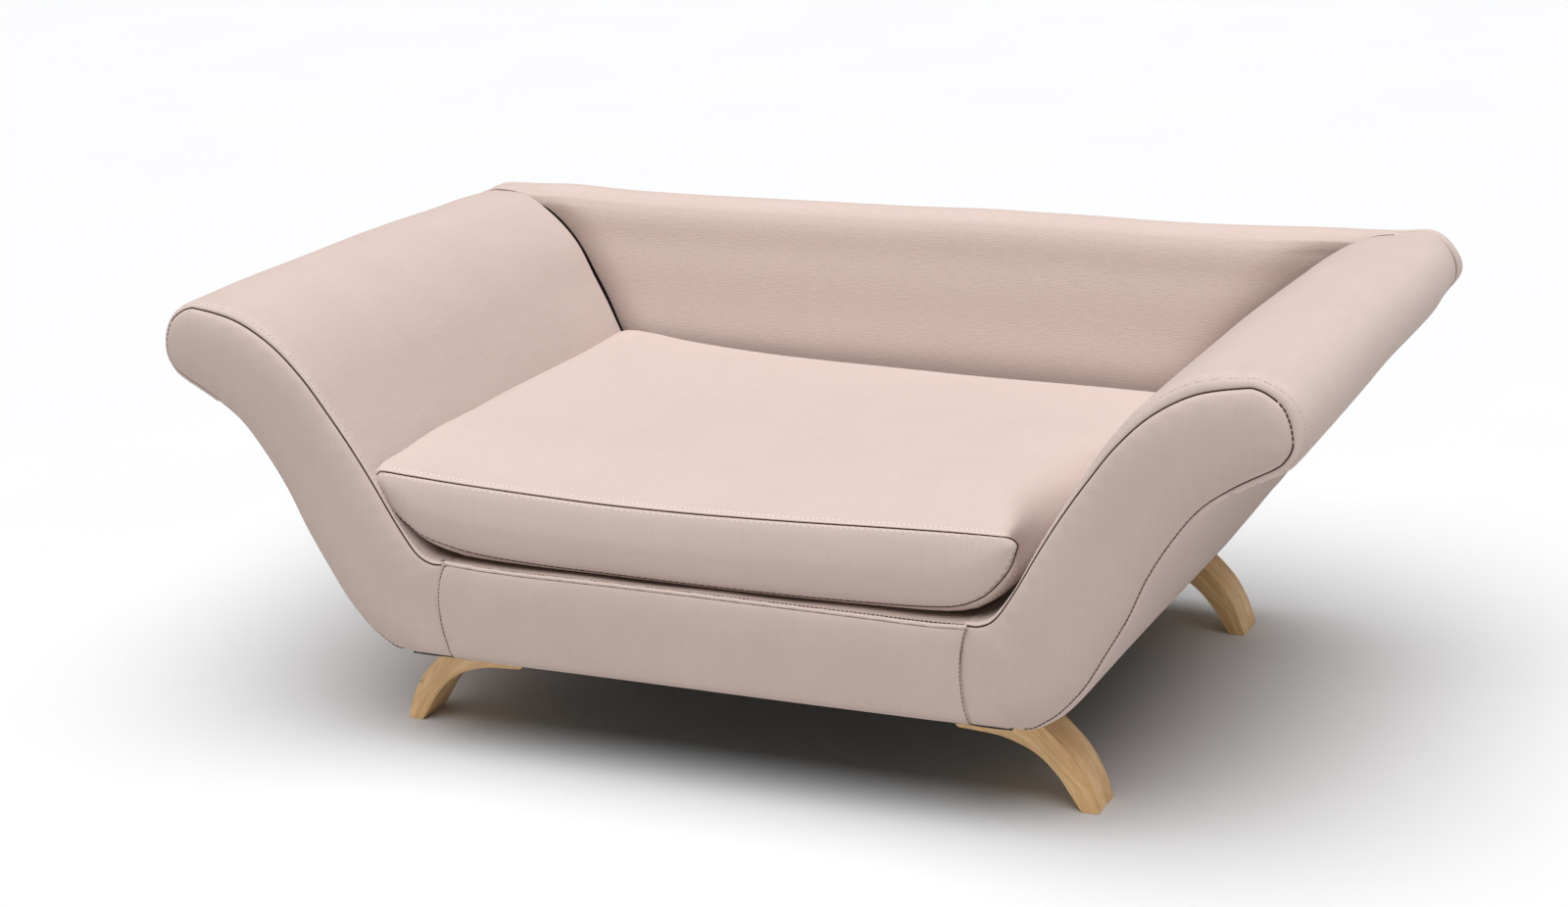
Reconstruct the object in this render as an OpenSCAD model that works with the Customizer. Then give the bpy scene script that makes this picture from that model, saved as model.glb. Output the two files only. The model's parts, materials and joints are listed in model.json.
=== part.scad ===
// Small upholstered sofa bed for a dog: S-curved splayed arms, a rolled back,
// a lift-out boxed cushion with a zip at its rear, and four curved wooden legs.
// Frame: X across the sofa, -Y is the front, +Z up. Origin: middle of the
// footprint at floor level. All sizes in millimetres.

/* [Overall] */
// Depth over the front and rear fabric
depth = 564; // [540:2:600]
// Height of the underside of the body above the floor
leg_h = 91; // [91:1:91]
// Half width of the flat front panel between the two arm panels
rail_half = 238; // [238:1:238]

/* [Upholstery] */
// Thickness of the cover fabric with its backing
fab = 1.5; // [1:0.1:1.8]
// Thickness of the arm foam
arm_pad = 20; // [16:1:20]
// Thickness of the back foam
back_pad = 15; // [12:1:15]
// Thickness of the foam behind the front panels
front_pad_t = 10; // [6:1:12]

/* [Frame boards] */
// Thickness of the plywood frame boards
ply = 15; // [12:1:18]
// Thickness of the bent inner board of arm and back
bent = 3; // [2:0.5:3]
// Thickness of the outer arm board
skin = 2.5; // [2:0.5:3]
// Radius of the round poles inside the arm rolls
pole_r = 14; // [12:0.5:14]

/* [Legs] */
// Thickness of a leg along Y
leg_t = 39; // [34:1:42]
// Front face of the front legs, measured back from the front of the sofa
leg_front_in = 62; // [55:1:70]
// Rear face of the rear legs, measured in from the back of the sofa
leg_rear_in = 44; // [40:1:60]

/* [Cushion] */
// Depth of the lift-out cushion
cushion_d = 447; // [430:1:449]
// Gap between the cushion and the deck, and the front setback
cushion_gap = 0.3; // [0.3:0.1:0.6]

/* [Hidden] */
$fn = 48;

FABRIC = "#d3c0b5";
FABRIC2 = "#c3aea2";
WOOD = "#d8ac6e";
PLY = "#e0c9a0";
FOAM = "#f2e6b8";
BOARD = "#a5805a";
STEEL = "#b8bcc0";
BLACK = "#2a2a2c";

// planes along Y
yf = -depth / 2;            // front fabric
y1 = yf + fab;              // back of the front fabric
y2 = y1 + front_pad_t;      // front of the frame
y3 = y2 + ply;              // back of the front rail and front ribs
yr = depth / 2;             // rear fabric
r1 = yr - fab;              // rear face of the back plate
r2 = r1 - ply;              // front face of the back plate
r3 = r2 - ply;              // front face of the rear rail

// heights
zb = leg_h;                 // underside
zb1 = zb + fab;             // underside of the frame
zd = 175;                   // top of the deck cover
zd1 = zd - fab;             // top of the deck board
zd2 = zd1 - 12;             // underside of the deck board
zr = zb1 + 18;              // top of the leg rails

// ---- curves ----
function cr(a, b, c, d, t) = 0.5 * (2 * b + (c - a) * t
  + (2 * a - 5 * b + 4 * c - d) * t * t + (3 * b - a - 3 * c + d) * t * t * t);
function spl(c, n) = concat([for (i = [0 : len(c) - 2]) for (k = [0 : n - 1])
  cr(c[max(i - 1, 0)], c[i], c[i + 1], c[min(i + 2, len(c) - 1)], k / n)],
  [c[len(c) - 1]]);
function nrm(a, b) = let (d = b - a) [d[1], -d[0]] / norm(d);
// offset of an open path, to its right-hand side
function off(p, d) = [for (i = [0 : len(p) - 1]) let (
  n1 = i > 0 ? nrm(p[i - 1], p[i]) : nrm(p[0], p[1]),
  n2 = i < len(p) - 1 ? nrm(p[i], p[i + 1]) : nrm(p[i - 1], p[i]),
  m = (n1 + n2) / norm(n1 + n2)) p[i] + m * d / (m * n1)];
// the same for a closed loop
function offc(p, d) = let (n = len(p)) [for (i = [0 : n - 1]) let (
  n1 = nrm(p[(i + n - 1) % n], p[i]), n2 = nrm(p[i], p[(i + 1) % n]),
  m = (n1 + n2) / norm(n1 + n2)) p[i] + m * d / (m * n1)];
function part(p, a, b) = [for (i = [a : b]) p[i]];
function rev(p) = [for (i = [len(p) - 1 : -1 : 0]) p[i]];
function mir(p) = [for (q = p) [-q[0], q[1]]];
function band(p, a, b, i, j) =
  concat(part(off(p, a), i, j), rev(part(off(p, b), i, j)));

// right arm outline in X and Z: from the deck up the inside, over the roll,
// round the tip and down the outside to the underside
arm_in = [[238, 175], [250, 175.8], [264, 183], [283, 207], [300, 241],
  [319, 271], [341, 302], [364, 332], [391, 359], [424, 380]];
tip_c = [468, 353];
tip_r = 36;
arm_tip = [for (a = [100 : -20 : -60]) tip_c + tip_r * [cos(a), sin(a)]];
arm_out = [[458, 306], [431, 286], [409, 257], [391, 227], [375, 193],
  [358, 160], [340, 131], [320, 108], [304, 96]];
arm_ctrl = concat(arm_in, arm_tip, arm_out);
O = concat(spl(arm_ctrl, 2), [[292, zb], [276, zb]]);
i_top = (len(arm_in) - 1) * 2;
i_arc = len(arm_in) * 2;
i_tip = (len(arm_in) + len(arm_tip) - 1) * 2;
i_bot = (len(arm_ctrl) - 2) * 2;
i_end = len(O) - 1;
in1 = fab + arm_pad;        // under the arm foam
in2 = in1 + bent;           // under the bent board
out1 = fab + skin;          // inside the outer board

// back outline in Y and Z: up the front, over the roll, down the rear
roll_c = [yr - 30, 355];
back_ctrl = concat([[yr - 96, zd1], [yr - 95, 205], [yr - 92, 256],
  [yr - 82, 285], [yr - 72, 319], [yr - 63, 342]],
  [for (a = [160 : -20 : 0]) roll_c + 30 * [cos(a), sin(a)]]);
B = concat(spl(back_ctrl, 2), [[yr, 340]]);
j_roll = 10;
// the path point nearest the crest of the roll
j_crest = [for (j = [0 : len(B) - 2]) if (B[j][0] < roll_c[0] + 0.01
  && B[j + 1][0] >= roll_c[0] + 0.01) j][0];
j_end = len(B) - 1;
bk1 = fab + back_pad;
bk2 = bk1 + bent;

// ---- helpers ----
module xz(y0, y1) { // outline given in X and Z, extruded from y0 to y1
  translate([0, y1, 0]) rotate([90, 0, 0]) linear_extrude(height = y1 - y0)
    children();
}
module yz(x0, x1) { // outline given in Y and Z, extruded from x0 to x1
  translate([x0, 0, 0]) rotate([90, 0, 90]) linear_extrude(height = x1 - x0)
    children();
}
module bx(x0, x1, y0, y1, z0, z1) {
  translate([x0, y0, z0]) cube([x1 - x0, y1 - y0, z1 - z0]);
}
module side(s) { if (s < 0) mirror([1, 0, 0]) children(); else children(); }
// everything behind the front surface of the back, up over its roll; with
// arm_end the arms also stop at the crest line where they stand higher
module back_zone(arm_end = false) {
  yz(-540, 540) polygon(arm_end
    ? concat([[B[0][0], 60]], part(B, 0, j_crest), [[roll_c[0], 460],
      [yr + 20, 460], [yr + 20, 60]])
    : concat([[B[0][0], 60]], B, [[yr + 20, 340], [yr + 20, 60]]));
}
module arm_band(s, a, b, i, j, y0, y1, cut = true) {
  side(s) difference() {
    xz(y0, y1) polygon(band(O, a, b, i, j));
    if (cut) back_zone(true);
    if (i == 0) bx(150, rail_half, -400, 400, 60, 240);
  }
}
// the outer board and the side panel, which the back's parts stop at
module outer_skin() {
  for (s = [-1, 1]) side(s) xz(90, yr + 10)
    polygon(band(O, -1, out1, i_tip, i_end));
}
// everything that stands on the deck board
module on_deck() { bx(-540, 540, 90, 400, zd1, 500); }
// outline of the whole back seen from behind, d inside the fabric
module boat(d, e) {
  r = concat(part(off(O, d), i_arc, i_tip), part(off(O, e), i_tip + 1, i_end));
  polygon(concat(r, rev(mir(r))));
}
module rib2d(zlow) {
  intersection() {
    polygon(concat(part(off(O, in2), 0, i_top), part(off(O, in1), i_top, i_tip),
      part(off(O, out1), i_tip, i_end), [[rail_half, zb1 + 2.5]]));
    translate([rail_half, zlow]) square([300, 400]);
  }
}
module rib(s, y0, zlow) {
  color(PLY) side(s) xz(y0, y0 + ply) rib2d(zlow);
}

// ---- base frame ----
screw_x = 187.5;
screw_z = [118, 146];
module screw(len) { // head at z = 0, pointing up
  cylinder(r1 = 4, r2 = 2, h = 2.6);
  translate([0, 0, 2.6]) cylinder(r = 2, h = len - 2.6);
}
module screw_set() {
  for (x = [-screw_x, screw_x]) for (z = screw_z) {
    translate([x, y2, z]) rotate([-90, 0, 0]) screw(38);
    translate([x, r1, z]) rotate([90, 0, 0]) screw(38);
  }
}
module frame_screws() {
  color(STEEL) difference() {
    screw_set();
    for (x = [-screw_x, screw_x]) for (z = screw_z) {
      translate([x, y2 - 1, z]) rotate([-90, 0, 0]) cylinder(r = 1.3, h = 2.4, $fn = 6);
      translate([x, r1 + 1, z]) rotate([90, 0, 0]) cylinder(r = 1.3, h = 2.4, $fn = 6);
    }
  }
}
module front_rail() {
  color(PLY) difference() {
    bx(-rail_half, rail_half, y2, y3, zb1, zd2);
    screw_set();
  }
}
module rear_rail() { color(PLY) bx(-180, 180, r3, r2, zb1, zd2); }
module side_rail(s) {
  color(PLY) side(s) difference() {
    bx(180, 195, y3, r2, zb1, zd2);
    screw_set();
  }
}
module left_side_rail() { side_rail(-1); }
module right_side_rail() { side_rail(1); }
module centre_stretcher() { color(PLY) bx(-7.5, 7.5, y3, r3, zr, zd2); }
// positions of the leg bolts
leg_y = [yf + leg_front_in + leg_t / 2, yr - leg_rear_in - leg_t / 2];
bolt_x = [215, 240];
module at_bolts(s) {
  for (x = bolt_x) for (y = leg_y) translate([s * x, y, 0]) children();
}
module leg_rail(s) {
  color(PLY) difference() {
    side(s) bx(195, 284, y3, r2, zb1, zr);
    at_bolts(s) {
      translate([0, 0, zb1 - 1]) cylinder(r = 3.2, h = 12);
      translate([0, 0, zr - 10.5]) cylinder(r = 4, h = 12);
    }
  }
}
module left_leg_rail() { leg_rail(-1); }
module right_leg_rail() { leg_rail(1); }
module seat_deck() { color(PLY) bx(-rail_half, rail_half, y2, r2, zd2, zd1); }
module corner_blocks() {
  color(WOOD) for (s = [-1, 1]) side(s) {
    bx(150, 180, y3, y3 + 30, zb1, zd2);
    bx(150, 180, r3 - 30, r3, zb1, zd2);
  }
}

// ---- arms ----
mid_y = -45;
rear_y = 160;
module left_arm_front_rib() { rib(-1, y2, zb1 + 2.5); }
module right_arm_front_rib() { rib(1, y2, zb1 + 2.5); }
module left_arm_mid_rib() { rib(-1, mid_y, zr); }
module right_arm_mid_rib() { rib(1, mid_y, zr); }
module left_arm_rear_rib() { rib(-1, rear_y, zr); }
module right_arm_rear_rib() { rib(1, rear_y, zr); }
module arm_top_poles() {
  color(WOOD) for (s = [-1, 1]) side(s) {
    xz(y3, mid_y) translate(tip_c) circle(r = pole_r);
    xz(mid_y + ply, rear_y) translate(tip_c) circle(r = pole_r);
  }
}
module arm_battens() {
  color(WOOD) for (s = [-1, 1]) side(s) {
    bx(384, 410, y3, mid_y, 276, 294);
    bx(384, 410, mid_y + ply, rear_y, 276, 294);
  }
}
module left_arm_inner_board() { color(BOARD) arm_band(-1, in1, in2, 0, i_top, y2, 260); }
module right_arm_inner_board() { color(BOARD) arm_band(1, in1, in2, 0, i_top, y2, 260); }
module left_arm_outer_board() { color(BOARD) arm_band(-1, fab, out1, i_tip, i_bot, y2, r2, false); }
module right_arm_outer_board() { color(BOARD) arm_band(1, fab, out1, i_tip, i_bot, y2, r2, false); }
module left_arm_foam() { color(FOAM) arm_band(-1, fab, in1, 0, i_tip, y2, 262); }
module right_arm_foam() { color(FOAM) arm_band(1, fab, in1, 0, i_tip, y2, 262); }
module arm_cover(s) { color(FABRIC) arm_band(s, 0, fab, 0, i_tip, y1, 262); }
module left_arm_cover() { arm_cover(-1); }
module right_arm_cover() { arm_cover(1); }
module front_pad(s) {
  color(FOAM) side(s) difference() {
    xz(y1, y2) polygon(concat(off(O, fab), [[rail_half, zb1]]));
    bx(150, rail_half, -400, 400, 60, 240);
  }
}
module left_arm_front_pad() { front_pad(-1); }
module right_arm_front_pad() { front_pad(1); }
module front_panel(s) {
  color(FABRIC2) side(s) xz(yf, y1) polygon(concat(O, [[rail_half, zb]]));
}
module left_arm_front_panel() { front_panel(-1); }
module right_arm_front_panel() { front_panel(1); }
module side_panel(s) { color(FABRIC2) arm_band(s, 0, fab, i_tip, i_end, y1, r1, false); }
module left_side_panel() { side_panel(-1); }
module right_side_panel() { side_panel(1); }

// ---- front and deck upholstery ----
module front_rail_pad() { color(FOAM) bx(-rail_half, rail_half, y1, y2, zb1, zd1); }
module front_rail_cover() { color(FABRIC2) bx(-rail_half, rail_half, yf, y1, zb, zd); }
module front_rail_welt() {
  color(FABRIC) translate([-rail_half, yf + 2, zd + 1.8]) rotate([0, 90, 0])
    cylinder(r = 1.8, h = 2 * rail_half, $fn = 24);
}
module deck_cover() { color(FABRIC2) bx(-rail_half, rail_half, y1, B[0][0], zd1, zd); }
module dust_cover() {
  color(BLACK) difference() {
    bx(-276, 276, y1, r1, zb, zb1);
    for (s = [-1, 1]) at_bolts(s) translate([0, 0, zb - 1]) cylinder(r = 4, h = 4);
  }
}

// ---- back ----
module back_plate() {
  color(PLY) difference() {
    intersection() {
      xz(r2, r1) boat(fab, fab);
      bx(-520, 520, r2 - 1, r1 + 1, zb1, 340);
    }
    screw_set();
  }
}
module back_ribs() {
  color(PLY) intersection() {
    for (x = [-400, -200, 0, 200, 400]) difference() {
      yz(x - ply / 2, x + ply / 2)
        polygon(concat(part(off(B, bk2), 0, j_roll), [[r2 - 20, 344],
          [r2, 344], [r2, zd1]]));
      translate([x - 20, roll_c[0], roll_c[1]]) rotate([0, 90, 0])
        cylinder(r = 13, h = 40);
    }
    xz(100, r2) boat(in2, in2);
    on_deck();
  }
}
module back_board() {
  color(BOARD) intersection() {
    yz(-520, 520) polygon(band(B, bk1, bk2, 0, j_roll));
    xz(100, yr) boat(out1, out1);
    on_deck();
  }
}
module back_top_pole() {
  color(WOOD) translate([-450, roll_c[0], roll_c[1]]) rotate([0, 90, 0])
    cylinder(r = 13, h = 900);
}
module back_foam() {
  color(FOAM) difference() {
    intersection() {
      yz(-520, 520) polygon(band(B, fab, bk1, 0, j_end));
      xz(100, yr) boat(fab, out1);
      on_deck();
    }
    outer_skin();
  }
}
module back_cover() {
  color(FABRIC) union() {
    difference() {
      intersection() {
        yz(-520, 520) polygon(band(B, 0, fab, 0, j_end));
        xz(100, yr) boat(0, fab);
        on_deck();
      }
      outer_skin();
    }
    for (s = [-1, 1]) side(s) intersection() {
      xz(100, r1) polygon(band(O, 0, fab, i_arc, i_tip));
      back_zone();
    }
  }
}
module rear_panel() {
  color(FABRIC2) intersection() {
    xz(r1, yr) boat(0, 0);
    bx(-540, 540, r1 - 1, yr + 1, zb, 340);
  }
}

// ---- legs ----
leg_pts = [[311, 0], [325, 0], [322, 10], [318, 22], [312, 34], [305, 45],
  [297, 54], [289, 62], [280, 70], [268, 80], [252, 91], [203, 91], [203, 64],
  [206, 61], [221, 60], [239, 58.5], [250, 56], [264, 51], [276, 44],
  [286, 35], [295, 24], [302, 13], [307, 5]];
module leg(s, y) {
  color(WOOD) side(s) difference() {
    xz(y - leg_t / 2, y + leg_t / 2) polygon(leg_pts);
    for (x = bolt_x) translate([x, y, 0]) {
      translate([0, 0, 40]) cylinder(r = 7.5, h = 30);
      translate([0, 0, 60]) cylinder(r = 3.2, h = 40);
    }
  }
}
module front_left_leg() { leg(-1, leg_y[0]); }
module front_right_leg() { leg(1, leg_y[0]); }
module rear_left_leg() { leg(-1, leg_y[1]); }
module rear_right_leg() { leg(1, leg_y[1]); }
module leg_bolts() {
  color(STEEL) for (s = [-1, 1]) at_bolts(s) difference() {
    union() {
      translate([0, 0, 63.8]) cylinder(r = 5, h = 5);
      translate([0, 0, 68.8]) cylinder(r = 3, h = zr + 1 - 68.8);
    }
    translate([0, 0, 63]) cylinder(r = 2.5, h = 3.6, $fn = 6);
  }
}
module leg_washers() {
  color(STEEL) for (s = [-1, 1]) at_bolts(s) translate([0, 0, 68.8])
    difference() {
      cylinder(r = 7, h = 1.2);
      translate([0, 0, -1]) cylinder(r = 3.2, h = 4);
    }
}
module leg_tee_nuts() {
  color(STEEL) for (s = [-1, 1]) at_bolts(s) difference() {
    union() {
      translate([0, 0, zr - 10.5]) cylinder(r = 4, h = 10.5);
      translate([0, 0, zr]) cylinder(r = 8.5, h = 1.5);
    }
    translate([0, 0, zr - 12]) cylinder(r = 3, h = 15);
  }
}

// ---- cushion ----
cy0 = yf + 12;
cy1 = cy0 + cushion_d;
cz = zd + cushion_gap;
// outline in X and Z, clockwise from the lower left
C = [[-234, cz], [-250, 181], [-262, 190], [-272, 203], [-284, 221],
  [-293, 236], [-299, 246], [-294, 251], [-247, 248], [-152, 244],
  [-60, 242], [0, 241], [82, 243], [167, 247], [249, 250], [276, 250],
  [282, 243], [277, 227], [267, 211], [254, 195], [241, 184], [226, cz]];
zip_z = 211;
zip_half = 205;
module cushion_foam() {
  color(FOAM) xz(cy0 + fab, cy1 - fab) polygon(offc(C, fab));
}
module cushion_cover() {
  color(FABRIC) xz(cy0, cy1) difference() {
    polygon(C);
    polygon(offc(C, fab));
  }
}
module cushion_front_panel() {
  color(FABRIC2) xz(cy0, cy0 + fab) polygon(offc(C, fab));
}
module cushion_rear_panel() {
  color(FABRIC2) difference() {
    xz(cy1 - fab, cy1) polygon(offc(C, fab));
    bx(-zip_half, zip_half, cy1 - 5, cy1 + 5, zip_z - 11, zip_z + 11);
  }
}
module zip_tape() {
  color(FABRIC2) for (s = [-1, 1])
    bx(-zip_half, zip_half, cy1 - fab, cy1 - fab + 1.2,
      zip_z + (s < 0 ? -11 : 3), zip_z + (s < 0 ? -3 : 11));
}
module zip_teeth() {
  color(STEEL) bx(-zip_half, zip_half, cy1 - fab, cy1 + 1, zip_z - 3, zip_z + 3);
}
slide_x = 195;
module zip_slider() {
  color(STEEL) translate([slide_x, cy1, zip_z]) {
    difference() {
      union() {
        bx(-6, 6, 1.3, 3.3, -5, 5);
        for (s = [-1, 1]) translate([0, 0, s * 4.2]) bx(-6, 6, 0.2, 1.4, -0.8, 0.8);
      }
      for (a = [-1, 1]) for (b = [-1, 1])
        translate([a * 6, 0, b * 5]) rotate([0, 45, 0]) bx(-1, 1, 0, 4, -1, 1);
    }
    // stud that carries the pull tab
    translate([0, 3.2, 0]) rotate([-90, 0, 0]) cylinder(r = 1.2, h = 3.2);
    translate([0, 5.7, 0]) rotate([-90, 0, 0]) cylinder(r = 2.2, h = 0.8);
  }
}
module zip_pull_tab() {
  color(STEEL) translate([slide_x, cy1 + 3.7, zip_z]) rotate([-90, 0, 0])
    difference() {
      union() {
        cylinder(r = 3.2, h = 1.6);
        translate([-2.4, 0, 0]) cube([4.8, 18, 1.6]);
        translate([0, 18, 0]) cylinder(r = 3.4, h = 1.6);
      }
      translate([0, 0, -1]) cylinder(r = 1.26, h = 4);
      translate([0, 18, -1]) cylinder(r = 1.4, h = 4);
    }
}

front_rail();
rear_rail();
left_side_rail();
right_side_rail();
centre_stretcher();
left_leg_rail();
right_leg_rail();
seat_deck();
corner_blocks();
left_arm_front_rib();
left_arm_mid_rib();
left_arm_rear_rib();
right_arm_front_rib();
right_arm_mid_rib();
right_arm_rear_rib();
arm_top_poles();
arm_battens();
left_arm_inner_board();
right_arm_inner_board();
left_arm_outer_board();
right_arm_outer_board();
back_plate();
back_ribs();
back_board();
back_top_pole();
frame_screws();
front_left_leg();
front_right_leg();
rear_left_leg();
rear_right_leg();
leg_bolts();
leg_washers();
leg_tee_nuts();
left_arm_foam();
right_arm_foam();
left_arm_front_pad();
right_arm_front_pad();
front_rail_pad();
back_foam();
left_arm_cover();
right_arm_cover();
left_arm_front_panel();
right_arm_front_panel();
left_side_panel();
right_side_panel();
front_rail_cover();
front_rail_welt();
back_cover();
rear_panel();
deck_cover();
dust_cover();
cushion_foam();
cushion_cover();
cushion_front_panel();
cushion_rear_panel();
zip_tape();
zip_teeth();
zip_slider();
zip_pull_tab();
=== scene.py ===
import json
import math

import bmesh
import bpy
import numpy as np
from mathutils import Matrix, Vector
from mathutils.geometry import delaunay_2d_cdt


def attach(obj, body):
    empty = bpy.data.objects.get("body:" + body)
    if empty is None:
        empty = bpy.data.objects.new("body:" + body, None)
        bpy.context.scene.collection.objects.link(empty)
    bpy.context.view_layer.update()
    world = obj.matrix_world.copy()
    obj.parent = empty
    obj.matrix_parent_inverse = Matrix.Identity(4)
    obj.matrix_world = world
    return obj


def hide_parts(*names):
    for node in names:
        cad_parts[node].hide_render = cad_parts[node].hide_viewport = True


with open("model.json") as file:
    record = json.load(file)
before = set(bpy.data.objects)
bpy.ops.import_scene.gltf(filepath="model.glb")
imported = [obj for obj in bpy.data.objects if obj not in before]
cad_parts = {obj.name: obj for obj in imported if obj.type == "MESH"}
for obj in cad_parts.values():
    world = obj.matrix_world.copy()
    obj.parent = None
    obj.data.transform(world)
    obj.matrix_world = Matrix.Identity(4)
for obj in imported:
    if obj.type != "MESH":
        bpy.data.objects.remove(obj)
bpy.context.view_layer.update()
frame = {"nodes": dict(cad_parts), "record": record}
NODE = frame["nodes"]
MM = 0.001


# ------------------------------------------------------------------ maths
def crv(c, t):
    """Catmull-Rom curve through the points c, at the point numbers t."""
    c = np.asarray(c, float)
    t = np.asarray(t, float)
    i = np.clip(np.floor(t).astype(int), 0, len(c) - 2)
    f = t - i
    if c.ndim > 1:
        f = f[..., None]

    def g(k):
        return c[np.clip(k, 0, len(c) - 1)]

    a, b, d, e = g(i - 1), g(i), g(i + 1), g(i + 2)
    return 0.5 * (2 * b + (d - a) * f + (2 * a - 5 * b + 4 * d - e) * f**2 + (3 * b - a - 3 * d + e) * f**3)


def crv_closed(c, t):
    c = np.asarray(c, float)
    n = len(c)
    i = np.floor(t).astype(int)
    f = (t - i)[..., None]
    a, b, d, e = c[(i - 1) % n], c[i % n], c[(i + 1) % n], c[(i + 2) % n]
    return 0.5 * (2 * b + (d - a) * f + (2 * a - 5 * b + 4 * d - e) * f**2 + (3 * b - a - 3 * d + e) * f**3)


def sst(a, b, x):
    t = np.clip((np.asarray(x, float) - a) / (b - a), 0, 1)
    return t * t * (3 - 2 * t)


def roll(e, w):
    """Quarter-circle rise from 0 at e = 0 to 1 at e = w."""
    t = np.clip(np.asarray(e, float) / w, 0, 1)
    return np.sqrt(np.maximum(0.0, 1 - (1 - t) ** 2))


def gauss(x, w):
    return np.exp(-((np.asarray(x, float) / w) ** 2))


def even_t(c, t0, t1, step):
    """Point numbers from t0 to t1 that are evenly spaced along the curve."""
    t = np.linspace(t0, t1, 2000)
    p = crv(c, t)
    s = np.r_[0, np.cumsum(np.linalg.norm(np.diff(p, axis=0), axis=1))]
    n = max(2, int(round(s[-1] / step)) + 1)
    return np.interp(np.linspace(0, s[-1], n), s, t)


def arc_len(p):
    return np.r_[0, np.cumsum(np.linalg.norm(np.diff(p, axis=0), axis=1))]


def resample(p, step, closed=False):
    p = np.asarray(p, float)
    if closed:
        p = np.vstack([p, p[:1]])
    s = arc_len(p)
    n = max(3, int(round(s[-1] / step)) + 1)
    q = np.linspace(0, s[-1], n)
    out = np.stack([np.interp(q, s, p[:, k]) for k in range(p.shape[1])], axis=1)
    return out[:-1] if closed else out


# ------------------------------------------------------------------ mesh tools
def link(ob):
    bpy.context.scene.collection.objects.link(ob)
    return ob


def mesh_object(name, verts, faces, mat, wv=None, sharp=48, recalc=True, face_mat=None, mats=None):
    """verts in millimetres; wv holds along-fabric millimetres and a third value that lightens the colour near seams
    where positive and is painted shade where negative.
    """
    verts = np.asarray(verts, float)
    me = bpy.data.meshes.new(name)
    me.from_pydata((verts * MM).tolist(), [], [tuple(int(i) for i in f) for f in faces])
    me.update()
    if recalc:
        bm = bmesh.new()
        bm.from_mesh(me)
        bmesh.ops.recalc_face_normals(bm, faces=bm.faces)
        bm.to_mesh(me)
        bm.free()
    if wv is None:
        wv = np.stack([verts[:, 0], verts[:, 2] + 0.35 * verts[:, 1], np.zeros(len(verts))], axis=1)
    at = me.attributes.new("wv", "FLOAT_VECTOR", "POINT")
    at.data.foreach_set("vector", np.asarray(wv, np.float32).ravel())
    me.polygons.foreach_set("use_smooth", [True] * len(me.polygons))
    if sharp:
        me.set_sharp_from_angle(angle=math.radians(sharp))
    for m in (mats or [mat]):
        me.materials.append(m)
    if face_mat is not None:
        me.polygons.foreach_set("material_index", list(face_mat))
    me.update()
    return link(bpy.data.objects.new(name, me))


def solid(name, outer, inner, mat, wv=None, sharp=48, closed_u=False, **kw):
    """A closed piece between an outer and an inner grid of points (nu, nv, 3)."""
    nu, nv, _ = outer.shape
    verts = np.concatenate([outer.reshape(-1, 3), inner.reshape(-1, 3)])
    base = nu * nv
    faces = []
    last = nu if closed_u else nu - 1
    for i in range(last):
        k = (i + 1) % nu
        for j in range(nv - 1):
            a, b, c, d = i * nv + j, k * nv + j, k * nv + j + 1, i * nv + j + 1
            faces.append((a, b, c, d))
            faces.append((base + d, base + c, base + b, base + a))
        faces.append((i * nv, base + i * nv, base + k * nv, k * nv))
        e = nv - 1
        faces.append((i * nv + e, k * nv + e, base + k * nv + e, base + i * nv + e))
    if not closed_u:
        for j in range(nv - 1):
            faces.append((j, j + 1, base + j + 1, base + j))
            r = (nu - 1) * nv
            faces.append((r + j + 1, r + j, base + r + j, base + r + j + 1))
    if wv is not None:
        wv = np.concatenate([wv.reshape(-1, 3)] * 2)
    return mesh_object(name, verts, faces, mat, wv, sharp, **kw)


def tube_mesh(path, r, sides=8, closed=False, flat=None):
    """Verts and faces of a tube along path; flat = (normals, factor) squashes it along the normals."""
    path = np.asarray(path, float)
    n = len(path)
    if closed:
        tan = np.roll(path, -1, 0) - np.roll(path, 1, 0)
    else:
        tan = np.gradient(path, axis=0)
    tan /= np.maximum(np.linalg.norm(tan, axis=1), 1e-9)[:, None]
    if flat is not None:
        up = np.asarray(flat[0], float)
        up = up - (up * tan).sum(1)[:, None] * tan
        up /= np.maximum(np.linalg.norm(up, axis=1), 1e-9)[:, None]
        fac = flat[1]
    else:
        ref = np.array([0.0, 0, 1]) if abs(tan[0][2]) < 0.9 else np.array([1.0, 0, 0])
        up = np.zeros_like(path)
        u = ref - ref @ tan[0] * tan[0]
        u /= np.linalg.norm(u)
        for i in range(n):
            u = u - (u @ tan[i]) * tan[i]
            u /= max(np.linalg.norm(u), 1e-9)
            up[i] = u
        fac = 1.0
    sd = np.cross(tan, up)
    a = np.arange(sides) * 2 * math.pi / sides
    rr = np.broadcast_to(np.asarray(r, float), (n,))
    ring = (np.cos(a)[None, :, None] * sd[:, None, :] + np.sin(a)[None, :, None] * up[:, None, :] * fac) * rr[:, None, None]
    v = (path[:, None, :] + ring).reshape(-1, 3)
    f = []
    for i in range(n if closed else n - 1):
        k = (i + 1) % n
        for j in range(sides):
            m = (j + 1) % sides
            f.append((i * sides + j, k * sides + j, k * sides + m, i * sides + m))
    if not closed:
        f.append(tuple(range(sides)))
        f.append(tuple((n - 1) * sides + j for j in range(sides - 1, -1, -1)))
    return v, f


def tube(name, path, r, mat, sides=8, closed=False, flat=None, wv=None):
    v, f = tube_mesh(path, r, sides, closed, flat)
    return mesh_object(name, v, f, mat, wv, sharp=60)


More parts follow.
